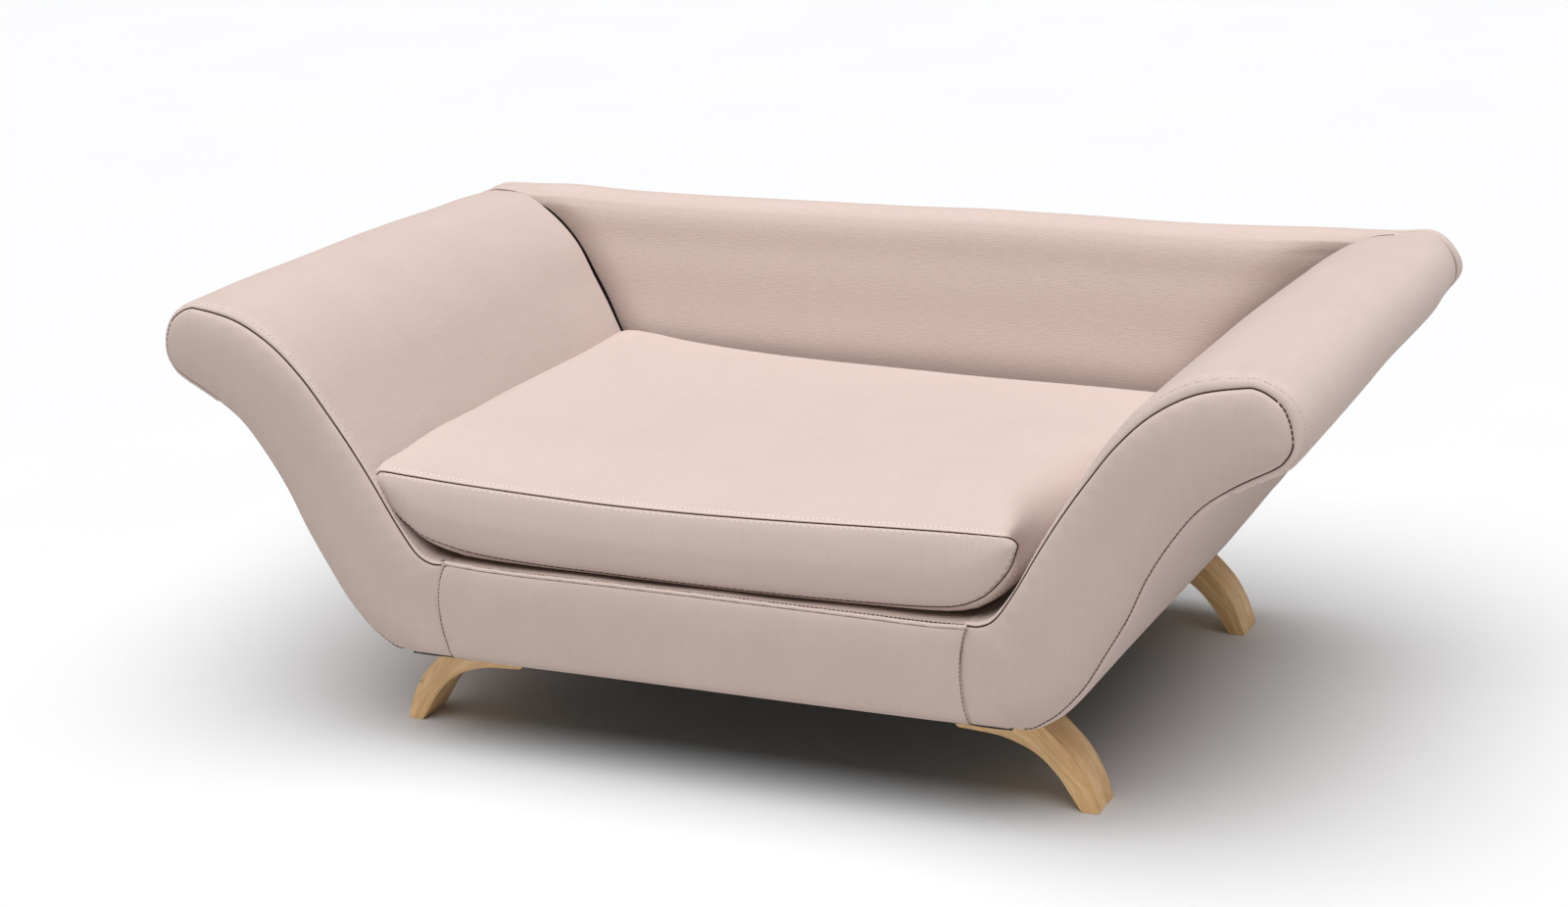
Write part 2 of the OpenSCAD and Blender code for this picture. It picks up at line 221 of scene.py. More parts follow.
def join_parts(name, parts, mat, sharp=60, **kw):
    vs, fs, fm, base = [], [], [], 0
    for k, (v, f) in enumerate(parts):
        vs.append(v)
        fs += [tuple(i + base for i in g) for g in f]
        base += len(v)
    return mesh_object(name, np.concatenate(vs), fs, mat, sharp=sharp, **kw)


def stitches(name, path, normals, mat, pitch=4.4, length=3.2, r=0.45, lift=0.1, skip=None, hole_mat=None):
    """A row of thread stitches that lie on the fabric and dive in at both ends."""
    path = np.asarray(path, float)
    nor = np.asarray(normals, float)
    s = arc_len(path)
    count = int((s[-1] - length) // pitch)
    parts, holes = [], []
    for k in range(count + 1):
        mid = (s[-1] - count * pitch) / 2 + k * pitch
        if skip is not None and skip(mid / s[-1]):
            continue
        wob = 0.12 * math.sin(k * 12.9898) + 0.1 * math.sin(k * 4.11)
        q = mid + np.array([-0.5, -0.36, -0.12, 0.12, 0.36, 0.5]) * length
        p = np.stack([np.interp(q, s, path[:, c]) for c in range(3)], 1)
        n = np.stack([np.interp(q, s, nor[:, c]) for c in range(3)], 1)
        n /= np.maximum(np.linalg.norm(n, axis=1), 1e-9)[:, None]
        tan = p[-1] - p[0]
        tan /= max(np.linalg.norm(tan), 1e-9)
        side = np.cross(tan, n[2])
        dip = np.array([-1.0, -0.1, 0.25, 0.25, -0.1, -1.0]) * r
        p = p + n * (dip + lift)[:, None] + side[None, :] * wob * 0.4
        rad = np.array([0.55, 0.95, 1.0, 1.0, 0.95, 0.55]) * r
        v, f = tube_mesh(p, rad, 6, False, (n, 0.8))
        parts.append((v, f))
        # painted shade: a small dark disc at each stitch's end stands in for the shade in its needle hole
        if hole_mat is not None:
            c = p[0] + n[0] * (r * 0.9) - tan * 0.35
            ang = np.arange(6) * math.pi / 3
            ring = c + 0.5 * (np.cos(ang)[:, None] * tan + np.sin(ang)[:, None] * side)
            hv = np.vstack([ring + n[0] * 0.02, c[None] + n[0] * 0.12, c[None] - n[0] * 0.5])
            hf = [(i, (i + 1) % 6, 6) for i in range(6)] + [((i + 1) % 6, i, 7) for i in range(6)]
            holes.append((hv, hf))
    ob = join_parts(name, parts, mat)
    out = [ob]
    if holes:
        out.append(join_parts(name + "_hole_shade", holes, hole_mat, sharp=30))
    return out


def seg_dist(p, loop):
    """Distance of each point to a closed loop of segments."""
    a = loop
    b = np.roll(loop, -1, 0)
    ab = b - a
    l2 = np.maximum((ab**2).sum(1), 1e-12)
    out = np.full(len(p), 1e9)
    for i in range(0, len(p), 800):
        q = p[i : i + 800]
        t = np.clip(((q[:, None, :] - a[None]) * ab[None]).sum(2) / l2[None], 0, 1)
        d = q[:, None, :] - (a[None] + t[..., None] * ab[None])
        out[i : i + 800] = np.sqrt((d**2).sum(2)).min(1)
    return out


def inside(p, loop):
    x, y = p[:, 0], p[:, 1]
    c = np.zeros(len(p), bool)
    n = len(loop)
    for i in range(n):
        x0, y0 = loop[i]
        x1, y1 = loop[(i + 1) % n]
        m = (y0 > y) != (y1 > y)
        if m.any():
            xx = (x1 - x0) * (y - y0) / (y1 - y0 + 1e-12) + x0
            c ^= m & (x < xx)
    return c


def plane_mesh(loop, spacing, rings=(1.2, 2.6, 4.4, 6.6, 9.5, 13)):
    """Triangles inside a closed 2-D loop, dense at its edge. Returns points, triangles, distance to the edge."""
    loop = np.asarray(loop, float)
    area = 0.5 * np.sum(loop[:, 0] * np.roll(loop[:, 1], -1) - np.roll(loop[:, 0], -1) * loop[:, 1])
    if area < 0:
        loop = loop[::-1]
    tan = np.roll(loop, -1, 0) - np.roll(loop, 1, 0)
    tan /= np.linalg.norm(tan, axis=1)[:, None]
    nin = np.stack([-tan[:, 1], tan[:, 0]], 1)
    pts = [loop]
    for k, d in enumerate(rings):
        q = loop + nin * d
        if k % 2:
            q = (q + np.roll(q, -1, 0)) / 2
        ok = inside(q, loop)
        dist = seg_dist(q, loop)
        ok &= dist > d * 0.985 - 0.02
        q = q[ok]
        keep = []
        last = None
        gap = 0.55 * (rings[k] - (rings[k - 1] if k else 0))
        for r in q:
            if last is None or np.linalg.norm(r - last) > gap:
                keep.append(r)
                last = r
        pts.append(np.array(keep).reshape(-1, 2))
    lo, hi = loop.min(0), loop.max(0)
    gx = np.arange(lo[0], hi[0], spacing)
    gy = np.arange(lo[1], hi[1], spacing * 0.866)
    g = np.array([(x + (spacing / 2 if j % 2 else 0), y) for j, y in enumerate(gy) for x in gx])
    g = g[inside(g, loop)]
    g = g[seg_dist(g, loop) > (rings[-1] if rings else 0) + spacing * 0.6]
    allp = np.concatenate(pts + [g])
    n = len(loop)
    v, e, f, ov, oe, of_ = delaunay_2d_cdt([Vector(p) for p in allp], [], [list(range(n))], 1, 1e-5)
    v = np.array([tuple(p) for p in v])
    return v, [tuple(t) for t in f], seg_dist(v, loop)


def plane_solid(name, v2, tris, front, back, mat, wv=None, sharp=48, **kw):
    """front and back are (n, 3) positions of the same 2-D mesh."""
    n = len(v2)
    cnt = {}
    for t in tris:
        for i in range(len(t)):
            a, b = t[i], t[(i + 1) % len(t)]
            cnt[(min(a, b), max(a, b))] = cnt.get((min(a, b), max(a, b)), []) + [(a, b)]
    faces = [tuple(t) for t in tris] + [tuple(i + n for i in reversed(t)) for t in tris]
    for es in cnt.values():
        if len(es) == 1:
            a, b = es[0]
            faces.append((b, a, a + n, b + n))
    verts = np.concatenate([front, back])
    if wv is not None:
        wv = np.concatenate([wv, wv])
    return mesh_object(name, verts, faces, mat, wv, sharp, **kw)


# ------------------------------------------------------------------ materials
class Nodes:
    def __init__(self, name):
        self.mat = bpy.data.materials.new(name)
        self.mat.use_nodes = True
        self.t = self.mat.node_tree
        self.bsdf = self.t.nodes["Principled BSDF"]

    def add(self, kind, **kw):
        n = self.t.nodes.new(kind)
        for k, v in kw.items():
            if k.startswith("i_"):
                key = k[2:]
                key = int(key) if key.isdigit() else key.replace("_", " ")
                s = n.inputs[key]
                if isinstance(v, bpy.types.NodeSocket):
                    self.t.links.new(v, s)
                else:
                    s.default_value = v
            else:
                setattr(n, k, v)
        return n

    def math(self, op, a, b=0.0, clamp=False):
        n = self.add("ShaderNodeMath", operation=op, use_clamp=clamp, i_0=a, i_1=b)
        return n.outputs[0]

    def scaled(self, vec, sc, loc=(0, 0, 0)):
        n = self.add("ShaderNodeMapping", i_Vector=vec, i_Scale=sc, i_Location=loc)
        return n.outputs[0]

    def noise(self, vec, scale=1.0, detail=3.0, rough=0.55, dist=0.0):
        n = self.add("ShaderNodeTexNoise", i_Vector=vec, i_Scale=scale, i_Detail=detail, i_Roughness=rough, i_Distortion=dist)
        return n.outputs["Fac"]

    def ramp(self, fac, stops):
        n = self.add("ShaderNodeValToRGB", i_Fac=fac)
        el = n.color_ramp.elements
        while len(el) < len(stops):
            el.new(0.5)
        for e, (p, c) in zip(el, stops):
            e.position = p
            e.color = c if len(c) == 4 else (*c, 1)
        return n.outputs[0]

    def remap(self, v, a, b, c, d):
        n = self.add("ShaderNodeMapRange", i_Value=v)
        for k, x in zip(("From Min", "From Max", "To Min", "To Max"), (a, b, c, d)):
            n.inputs[k].default_value = x
        return n.outputs[0]

    def mix(self, fac, a, b, mode="MIX"):
        n = self.add("ShaderNodeMix", data_type="RGBA", blend_type=mode)
        for key, val in ((0, fac), (6, a), (7, b)):
            if isinstance(val, bpy.types.NodeSocket):
                self.t.links.new(val, n.inputs[key])
            else:
                n.inputs[key].default_value = val if key == 0 else (*val, 1)[:4]
        return n.outputs[2]

    def bump(self, height, dist, strength=1.0, normal=None):
        n = self.add("ShaderNodeBump", i_Height=height, i_Distance=dist, i_Strength=strength)
        if normal is not None:
            self.t.links.new(normal, n.inputs["Normal"])
        return n.outputs[0]

    def out(self, **kw):
        for k, v in kw.items():
            s = self.bsdf.inputs[k.replace("_", " ")]
            if isinstance(v, bpy.types.NodeSocket):
                self.t.links.new(v, s)
            else:
                s.default_value = v
        return self.mat


def sep(n, vec):
    s = n.add("ShaderNodeSeparateXYZ", i_Vector=vec)
    return s.outputs


def fabric(name, col, slub=0.10, weave=0.05, tone=0.05, rib=(0.055, 0.42), seed=0.0):
    """Plain woven cover fabric with slubs that run along the first wv direction. Sizes in mm."""
    n = Nodes(name)
    at = n.add("ShaderNodeAttribute", attribute_name="wv").outputs["Vector"]
    o = sep(n, at)
    flat = n.add("ShaderNodeCombineXYZ", i_X=o[0], i_Y=o[1], i_Z=seed).outputs[0]
    # slubs: long thin ridges
    s1 = n.noise(n.scaled(flat, (rib[0], rib[1], 1)), 1.0, 3.0, 0.6)
    s2 = n.noise(n.scaled(flat, (rib[0] * 2.6, rib[1] * 1.9, 1), (13, 7, 3)), 1.0, 2.0, 0.55)
    slubs = n.remap(n.math("ADD", n.math("MULTIPLY", s1, 0.65), n.math("MULTIPLY", s2, 0.35)), 0.38, 0.66, 0.0, 1.0)
    # cross yarn, fainter
    s3 = n.noise(n.scaled(flat, (rib[1] * 1.1, rib[0] * 0.8, 1), (5, 31, 9)), 1.0, 2.0, 0.5)
    cross = n.remap(s3, 0.35, 0.7, 0.0, 1.0)
    # plain weave: over and under, about 0.75 mm pitch, wandering a little
    wob = n.math("MULTIPLY", n.noise(n.scaled(flat, (0.12, 0.12, 1)), 1.0, 1.0, 0.5), 2.2)
    wu = n.math("SINE", n.math("ADD", n.math("MULTIPLY", o[0], 8.4), wob))
    wv_ = n.math("SINE", n.math("ADD", n.math("MULTIPLY", o[1], 7.6), wob))
    yarn = n.remap(n.math("MULTIPLY", wu, wv_), -1.0, 1.0, 0.0, 1.0)
    # soft tone change over the panels, and lighter along the seams
    big = n.noise(n.scaled(flat, (0.012, 0.014, 1), (3, 3, 3)), 1.0, 3.0, 0.55)
    mott = n.noise(n.scaled(flat, (0.06, 0.075, 1), (9, 2, 1)), 1.0, 3.0, 0.6)
    lo = tuple(c * (1 - tone) for c in col)
    hi = tuple(min(1.0, c * (1 + tone * 0.8)) for c in col)
    c1 = n.mix(n.remap(big, 0.3, 0.7, 0.0, 1.0), lo, hi)
    c2 = n.mix(n.remap(mott, 0.3, 0.7, 0.0, 0.35), c1, tuple(min(1, c * m) for c, m in zip(col, (1.04, 1.0, 0.97))))
    dk = tuple(c * m for c, m in zip(col, (0.80, 0.76, 0.74)))
    lt = tuple(min(1.0, c * m) for c, m in zip(col, (1.07, 1.07, 1.06)))
    c3 = n.mix(n.math("MULTIPLY", n.math("SUBTRACT", 1.0, slubs), 0.16 + slub), c2, dk)
    c4 = n.mix(n.math("MULTIPLY", yarn, 0.07), c3, lt)
    c5 = n.mix(n.math("MULTIPLY", cross, 0.10), c4, dk)
    # painted shade: a negative third wv value darkens the colour towards deep brown, on the back beside the arms and on
    # the cushion's right edge by the arm
    c5 = n.mix(n.math("MULTIPLY", o[2], -0.72, True), c5, tuple(c * m for c, m in zip(col, (0.42, 0.36, 0.33))))
    c6 = n.mix(n.math("MULTIPLY", o[2], 0.22, True), c5, tuple(min(1.0, c * 1.16) for c in col))
    b1 = n.bump(slubs, slub * MM)
    b2 = n.bump(cross, slub * 0.45 * MM, 1.0, b1)
    b3 = n.bump(yarn, weave * MM, 1.0, b2)
    rough = n.remap(slubs, 0.0, 1.0, 0.92, 0.80)
    m = n.out(Base_Color=c6, Roughness=rough, Normal=b3, IOR=1.45)
    n.bsdf.inputs["Sheen Weight"].default_value = 0.14
    n.bsdf.inputs["Sheen Roughness"].default_value = 0.45
    n.bsdf.inputs["Sheen Tint"].default_value = (1.0, 0.93, 0.89, 1)
    n.bsdf.inputs["Specular IOR Level"].default_value = 0.18
    return m


def thread(name, col, spec=0.2):
    n = Nodes(name)
    co = n.add("ShaderNodeTexCoord").outputs["Object"]
    tw = n.noise(n.scaled(co, (2600, 2600, 2600)), 1.0, 2.0, 0.5)
    big = n.noise(n.scaled(co, (90, 90, 90)), 1.0, 2.0, 0.5)
    c = n.mix(n.remap(tw, 0.35, 0.65, 0, 1), tuple(x * 0.75 for x in col), tuple(min(1, x * 1.25) for x in col))
    c = n.mix(n.remap(big, 0.3, 0.7, 0, 0.3), c, tuple(min(1, x * 1.3) for x in col))
    n.bsdf.inputs["Specular IOR Level"].default_value = spec
    return n.out(Base_Color=c, Roughness=n.remap(tw, 0, 1, 0.75, 0.95), Normal=n.bump(tw, 0.00012))


def wood(name, light, dark, pore, grain=(0.006, 0.16, 0.10), gloss=0.42, attr="wv", streak=1.0):
    """Grain runs along the first direction of wv (or of the object, in mm)."""
    n = Nodes(name)
    if attr:
        co = n.add("ShaderNodeAttribute", attribute_name=attr).outputs["Vector"]
    else:
        co = n.scaled(n.add("ShaderNodeTexCoord").outputs["Object"], (1000, 1000, 1000))
    warp = n.noise(n.scaled(co, (0.012, 0.05, 0.05)), 1.0, 2.0, 0.5)
    o = sep(n, co)
    wy = n.math("ADD", o[1], n.math("MULTIPLY", warp, 9.0))
    v = n.add("ShaderNodeCombineXYZ", i_X=o[0], i_Y=wy, i_Z=o[2]).outputs[0]
    g1 = n.noise(n.scaled(v, grain), 1.0, 4.0, 0.6)
    g2 = n.noise(n.scaled(v, (grain[0] * 3.2, grain[1] * 5, grain[2] * 5), (4, 4, 4)), 1.0, 3.0, 0.6)
    fine = n.noise(n.scaled(v, (0.05, 2.6, 2.6), (8, 1, 2)), 1.0, 2.0, 0.6)
    rings = n.math("ADD", n.math("MULTIPLY", g1, 0.6), n.math("MULTIPLY", g2, 0.4))
    c = n.ramp(rings, [(0.36, (*dark, 1)), (0.50, (*tuple((a + b) / 2 for a, b in zip(light, dark)), 1)), (0.62, (*light, 1))])
    pores = n.remap(fine, 0.60, 0.72, 0.0, 0.55 * streak)
    c = n.mix(pores, c, pore)
    h = n.math("SUBTRACT", n.math("MULTIPLY", g2, 0.4), pores)
    return n.out(Base_Color=c, Roughness=n.remap(fine, 0.3, 0.8, gloss - 0.08, gloss + 0.16), Normal=n.bump(h, 0.00012))


def plywood(name):
    n = Nodes(name)
    co = n.scaled(n.add("ShaderNodeTexCoord").outputs["Object"], (1000, 1000, 1000))
    face = n.noise(n.scaled(co, (0.012, 0.25, 0.05)), 1.0, 4.0, 0.6)
    fine = n.noise(n.scaled(co, (0.08, 1.8, 1.4)), 1.0, 2.0, 0.6)
    ply = n.math("SINE", n.math("MULTIPLY", sep(n, co)[1], 4.2))
    c = n.ramp(face, [(0.3, (0.50, 0.33, 0.17, 1)), (0.5, (0.62, 0.45, 0.26, 1)), (0.7, (0.70, 0.54, 0.34, 1))])
    c = n.mix(n.remap(ply, 0.2, 1.0, 0.0, 0.28), c, (0.36, 0.22, 0.11))
    c = n.mix(n.remap(fine, 0.6, 0.75, 0, 0.4), c, (0.30, 0.18, 0.09))
    return n.out(Base_Color=c, Roughness=n.remap(fine, 0, 1, 0.55, 0.8), Normal=n.bump(face, 0.0002))


def hardboard(name):
    n = Nodes(name)
    co = n.scaled(n.add("ShaderNodeTexCoord").outputs["Object"], (1000, 1000, 1000))
    fl = n.noise(n.scaled(co, (0.5, 0.5, 0.5)), 1.0, 4.0, 0.7)
    c = n.ramp(fl, [(0.35, (0.14, 0.07, 0.035, 1)), (0.65, (0.27, 0.15, 0.075, 1))])
    return n.out(Base_Color=c, Roughness=n.remap(fl, 0, 1, 0.5, 0.75), Normal=n.bump(fl, 0.0002))


def foam_mat(name):
    n = Nodes(name)
    co = n.scaled(n.add("ShaderNodeTexCoord").outputs["Object"], (1000, 1000, 1000))
    v = n.add("ShaderNodeTexVoronoi", i_Vector=co, i_Scale=1.3).outputs["Distance"]
    c = n.ramp(v, [(0.1, (0.45, 0.36, 0.20, 1)), (0.6, (0.86, 0.78, 0.54, 1))])
    return n.out(Base_Color=c, Roughness=0.95, Normal=n.bump(v, 0.0004))


def nonwoven(name):
    n = Nodes(name)
    at = n.add("ShaderNodeAttribute", attribute_name="wv").outputs["Vector"]
    fib = n.noise(n.scaled(at, (0.9, 0.9, 0.9)), 1.0, 5.0, 0.75)
    dots = n.add("ShaderNodeTexVoronoi", i_Vector=n.scaled(at, (0.55, 0.55, 0.0)), i_Scale=1.0, i_Randomness=0.15).outputs["Distance"]
    d = n.remap(dots, 0.12, 0.3, 0.0, 1.0)
    c = n.mix(n.math("MULTIPLY", d, n.remap(fib, 0.3, 0.7, 0.4, 1.0)), (0.010, 0.010, 0.011), (0.040, 0.039, 0.041))
    h = n.math("ADD", n.math("MULTIPLY", d, 0.6), n.math("MULTIPLY", fib, 0.4))
    return n.out(Base_Color=c, Roughness=n.remap(fib, 0, 1, 0.7, 0.95), Normal=n.bump(h, 0.0003))


def metal(name, col, rough=0.3, scratch=0.00003):
    n = Nodes(name)
    co = n.scaled(n.add("ShaderNodeTexCoord").outputs["Object"], (1000, 1000, 1000))
    br = n.noise(n.scaled(co, (0.3, 6.0, 6.0)), 1.0, 3.0, 0.6)
    sp = n.noise(n.scaled(co, (0.4, 0.4, 0.4)), 1.0, 3.0, 0.6)
    c = n.mix(n.remap(sp, 0.3, 0.7, 0, 1), tuple(x * 0.8 for x in col), col)
    return n.out(Base_Color=c, Metallic=1.0, Roughness=n.remap(br, 0.2, 0.8, rough - 0.07, rough + 0.15), Normal=n.bump(br, scratch))


def tape_mat(name, col):
    n = Nodes(name)
    co = n.scaled(n.add("ShaderNodeTexCoord").outputs["Object"], (1000, 1000, 1000))
    o = sep(n, co)
    a = n.math("SINE", n.math("MULTIPLY", n.math("ADD", o[0], o[2]), 9.0))
    b = n.math("SINE", n.math("MULTIPLY", n.math("SUBTRACT", o[0], o[2]), 9.0))
    t = n.remap(n.math("MULTIPLY", a, b), -1, 1, 0, 1)
    c = n.mix(t, tuple(x * 0.78 for x in col), tuple(min(1, x * 1.1) for x in col))
    return n.out(Base_Color=c, Roughness=n.remap(t, 0, 1, 0.9, 0.7), Normal=n.bump(t, 0.00015))


def plastic(name, col):
    n = Nodes(name)
    co = n.scaled(n.add("ShaderNodeTexCoord").outputs["Object"], (1000, 1000, 1000))
    f = n.noise(n.scaled(co, (1.5, 1.5, 1.5)), 1.0, 3.0, 0.6)
    c = n.mix(n.remap(f, 0.3, 0.7, 0, 1), tuple(x * 0.85 for x in col), tuple(min(1, x * 1.1) for x in col))
    return n.out(Base_Color=c, Roughness=n.remap(f, 0, 1, 0.35, 0.5), Normal=n.bump(f, 0.00003))


BASE = (0.540, 0.436, 0.388)
# painted light: a lighter copy of the cover colour, with stronger slubs, for the back that leans into the key light;
# the rear panel shares it
M_back_lit = fabric("cover_fabric_back_lit", (0.572, 0.461, 0.409), slub=0.17, weave=0.03, tone=0.012, rib=(0.11, 0.80), seed=1.0)
M_wrap = fabric("cover_fabric_wrap", BASE, slub=0.07, weave=0.03, tone=0.03, rib=(0.022, 0.46), seed=2.0)
# painted shade: a darker, warmer copy of the cover colour for the front panels, rail and deck, which stand in shade
M_front_shaded = fabric("cover_fabric_front_shaded", (0.505, 0.403, 0.352), slub=0.05, weave=0.03, tone=0.03, rib=(0.020, 0.50), seed=3.0)
M_cush = fabric("cushion_fabric", BASE, slub=0.05, weave=0.03, tone=0.025, rib=(0.020, 0.52), seed=4.0)
M_seam = thread("seam_thread_dark", (0.040, 0.017, 0.011), 0.1)
# painted shadow: near-black material for the tube in the joints between arms and back
M_joint_shadow = thread("joint_painted_shadow", (0.006, 0.004, 0.0035), 0.05)
M_top = thread("topstitch_thread", (0.74, 0.61, 0.54))
M_top2 = thread("topstitch_thread_arm", (0.60, 0.49, 0.435))
# dark brown thread for the low seams, also used as painted shade in the needle holes
M_thread_and_hole_shade = thread("dark_thread_and_hole_shade", (0.12, 0.062, 0.044), 0.1)
M_leg = wood("leg_oak", (0.96, 0.66, 0.345), (0.70, 0.40, 0.155), (0.30, 0.14, 0.045), streak=1.35)
M_fwood = wood("frame_pine", (0.70, 0.50, 0.27), (0.50, 0.31, 0.13), (0.30, 0.17, 0.07), attr=None, gloss=0.6)
M_ply = plywood("plywood_birch")
M_board = hardboard("hardboard_brown")
M_foam = foam_mat("foam_cream")
M_dust = nonwoven("dust_cloth_black")
M_steel = metal("steel_zinc", (0.62, 0.62, 0.63), 0.32)
M_zmetal = metal("zip_metal_nickel", (0.56, 0.54, 0.51), 0.25)
M_tape = tape_mat("zip_tape_twill", (0.42, 0.31, 0.26))
M_teeth = plastic("zip_coil_nylon", (0.26, 0.18, 0.15))

# ------------------------------------------------------------------ camera
AZ, EL, RO = (math.radians(a) for a in (25.56, 17.33, -2.87))
cb = Vector((math.sin(AZ) * math.cos(EL), -math.cos(AZ) * math.cos(EL), math.sin(EL)))
crt = Vector((math.cos(AZ), math.sin(AZ), 0))
cup = cb.cross(crt)
R2 = crt * math.cos(RO) + cup * math.sin(RO)
U2 = -crt * math.sin(RO) + cup * math.cos(RO)
cam_at = Vector((-15.6, -60.4, 227.2)) * MM + cb * 2.535
cam = link(bpy.data.objects.new("camera", bpy.data.cameras.new("camera")))
cam.data.sensor_fit = "HORIZONTAL"
cam.data.sensor_width = 36
cam.data.lens = 36 * 2947 / 1600
cam.data.clip_start, cam.data.clip_end = 0.05, 150
cam.matrix_world = Matrix(((R2.x, U2.x, cb.x, cam_at.x), (R2.y, U2.y, cb.y, cam_at.y), (R2.z, U2.z, cb.z, cam_at.z), (0, 0, 0, 1)))
bpy.context.scene.camera = cam

# ------------------------------------------------------------------ outlines
# right arm in X and Z: deck corner, up the inside, over the roll, round the tip, down the outside
TIP = [(468 + 36 * math.cos(math.radians(a)), 353 + 36 * math.sin(math.radians(a))) for a in range(100, -61, -20)]
OC = np.array([(238, 175), (250, 175.8), (264, 183), (283, 207), (300, 241), (319, 271), (341, 302), (364, 332),
               (391, 359), (424, 380)] + TIP + [(458, 306), (431, 286), (409, 257), (391, 227), (375, 193), (358, 160),
               (340, 131), (320, 108), (304, 96), (292, 91), (276, 91)])
T_SIDE = 19.25     # where the wrap over the arm ends and the side panel begins
T_END = 29.0
YF = -278.5        # the front seams lie in this plane

# how far the padding stands out of that outline, by control point, at eight depths
PY = np.array([-262, -180, -90, 0, 80, 150, 200, 246.0])
PUFF_R = np.array([
    [0.5, 1, 2, 3, 3, 4, 6, 8, 10, 9, 6, 5, 5, 6, 7, 7.5, 6, 4.5, 4, 3, 2],
    [0, 1, 2, 3, 4, 5, 7, 8, 9.5, 9, 6, 5, 5, 6, 7, 7.5, 6, 4.2, 4, 3, 2],
    [0, 1, 2, 3, 4, 5, 6, 7, 8, 8, 6, 5, 5, 6, 7, 7.2, 5.4, 3.6, 4, 3, 2],
    [0, 1, 2, 3, 4, 5, 6, 6.5, 7, 7, 5, 4, 4, 6, 7, 7.2, 4.6, 2.0, 3, 3, 2],
    [0, 1, 2, 2, 3, 4, 5, 5, 5, 5, 3, 2.5, 3, 5, 7, 7.4, 5.2, 3.0, 3, 3, 2],
    [0, 1, 1, 2, 2, 3, 3, 3, 2.5, 1.5, -1, -1, 0, 4, 6, 7.4, 5.6, 3.4, 3, 3, 2],
    [0, 1, 1, 1, 1, 2, 2, 2, 0, -1.5, -3.5, -3.8, -3, 0.2, 2.5, 4.0, 2.6, 1.8, 1.5, 1.5, 1],
    [0, 1, 1, 1, 1, 2, 2.5, 2.5, -1, -4, -7, -6.8, -6.0, -5.0, -3.6, -1.4, 0.6, 0.8, 0.6, 0.4, 0]])
PUFF_L = np.array([
    [0.5, 1, 1.5, 1.5, 1.5, 2.5, 4, 5, 5, 4, 2, 0.5, -0.5, -0.8, -0.5, 1.0, 2.8, 4.2, 4.5, 4, 2.5],
    [0, 1, 1.5, 1.5, 1.5, 3, 5, 6, 6, 4.4, 2.4, 1.2, 1, 2, 3.5, 5.5, 7, 7.5, 6.5, 5, 3],
    [0, 1, 1.5, 1.5, 1.5, 3, 5, 6, 5.6, 4, 1.7, 0.3, 0, 2.5, 5, 7, 8, 8, 7, 5, 3],
    [0, 1, 1.5, 1.5, 1.5, 3, 4.5, 5.5, 5, 3.4, 1.0, -0.8, -1.2, 2.4, 5, 7, 7, 6, 5, 4, 3],
    [0, 1, 1, 1, 1.5, 2.5, 4, 4.5, 3.6, 1.5, -2.2, -3.8, -4.2, 1.5, 5, 7, 7, 6, 5, 4, 3],
    [0, 1, 1, 1, 1, 2, 3, 3.5, 1.6, -0.8, -5.5, -7.1, -7.1, -1.6, 4, 7, 6, 5, 4, 3, 2],
    [0, 1, 1, 1, 1, 2, 2.5, 3, 0.5, -2.5, -7, -8.5, -7.5, -3, 2, 5, 4, 3, 2.5, 2, 1],
    [0, 1, 1, 1, 1, 2, 2.5, 2.5, -1, -5, -11, -12, -11, -6, -2, 0, 0.7, 0.8, 0.6, 0.4, 0]])


# the front seam is sewn a little inside that outline (measured along its normal, by control point)
SEAM_IN = np.array([0.6, 0, 1.0, 3.0, 0.6, 0.8, 1.0, 0.8, -0.3, -2.6, -2.8, -3.4, -4.6, -4.8, -5.4, -4.8, -2.8, -2.4, -2.4, -2.7,
                    -2.8, -3.6, -3.8, -3.6, -5.2, -4.8, -4.6, -4.2, -2.8, -1.0])


def out_norm(t):
    d = crv(OC, np.minimum(t + 0.02, T_END)) - crv(OC, np.maximum(t - 0.02, 0))
    d /= np.linalg.norm(d, axis=-1)[..., None]
    return np.stack([-d[..., 1], d[..., 0]], -1)


def puff(side, t, y):
    """t (n,), y (n, m) -> (n, m)"""
    tab = PUFF_R if side > 0 else PUFF_L
    rows = np.stack([crv(r, np.clip(t, 0, 20)) for r in tab])
    k = np.interp(y, PY, np.arange(len(PY)))
    i = np.clip(np.floor(k).astype(int), 0, len(PY) - 2)
    f = k - i
    col = np.broadcast_to(np.arange(len(t))[:, None], y.shape)

    def g(j):
        return rows[np.clip(j, 0, len(PY) - 1), col]

    a, b, c, d = g(i - 1), g(i), g(i + 1), g(i + 2)
    return 0.5 * (2 * b + (c - a) * f + (2 * a - 5 * b + 4 * c - d) * f**2 + (3 * b - a - 3 * c + d) * f**3)


# front surface of the back: depth by height
BZ = np.array([173.5, 205, 256, 285, 319, 343, 357, 366, 373.5, 378.5, 380.5, 381])
BY = np.array([186, 187, 190, 200, 210, 219, 222, 226, 232, 240, 246, 252.0])
_bz = np.arange(150, 382, 0.5)
_by = np.interp(_bz, BZ, BY)
_w = gauss(np.arange(-40, 41) * 0.5, 10.0)
_sm = np.convolve(np.pad(_by, 40, mode="edge"), _w / _w.sum(), "valid")
_by = _sm + (_by - _sm) * sst(352, 376, _bz)
GAP = 4.2


def back_y(z):
    return np.interp(z, _bz, _by)


def valley(z, side):
    """How much deeper the back's padding is pulled in where the arm's end meets it."""
    return (7.5 if side > 0 else 4.5) * (1 - sst(358, 378, z))


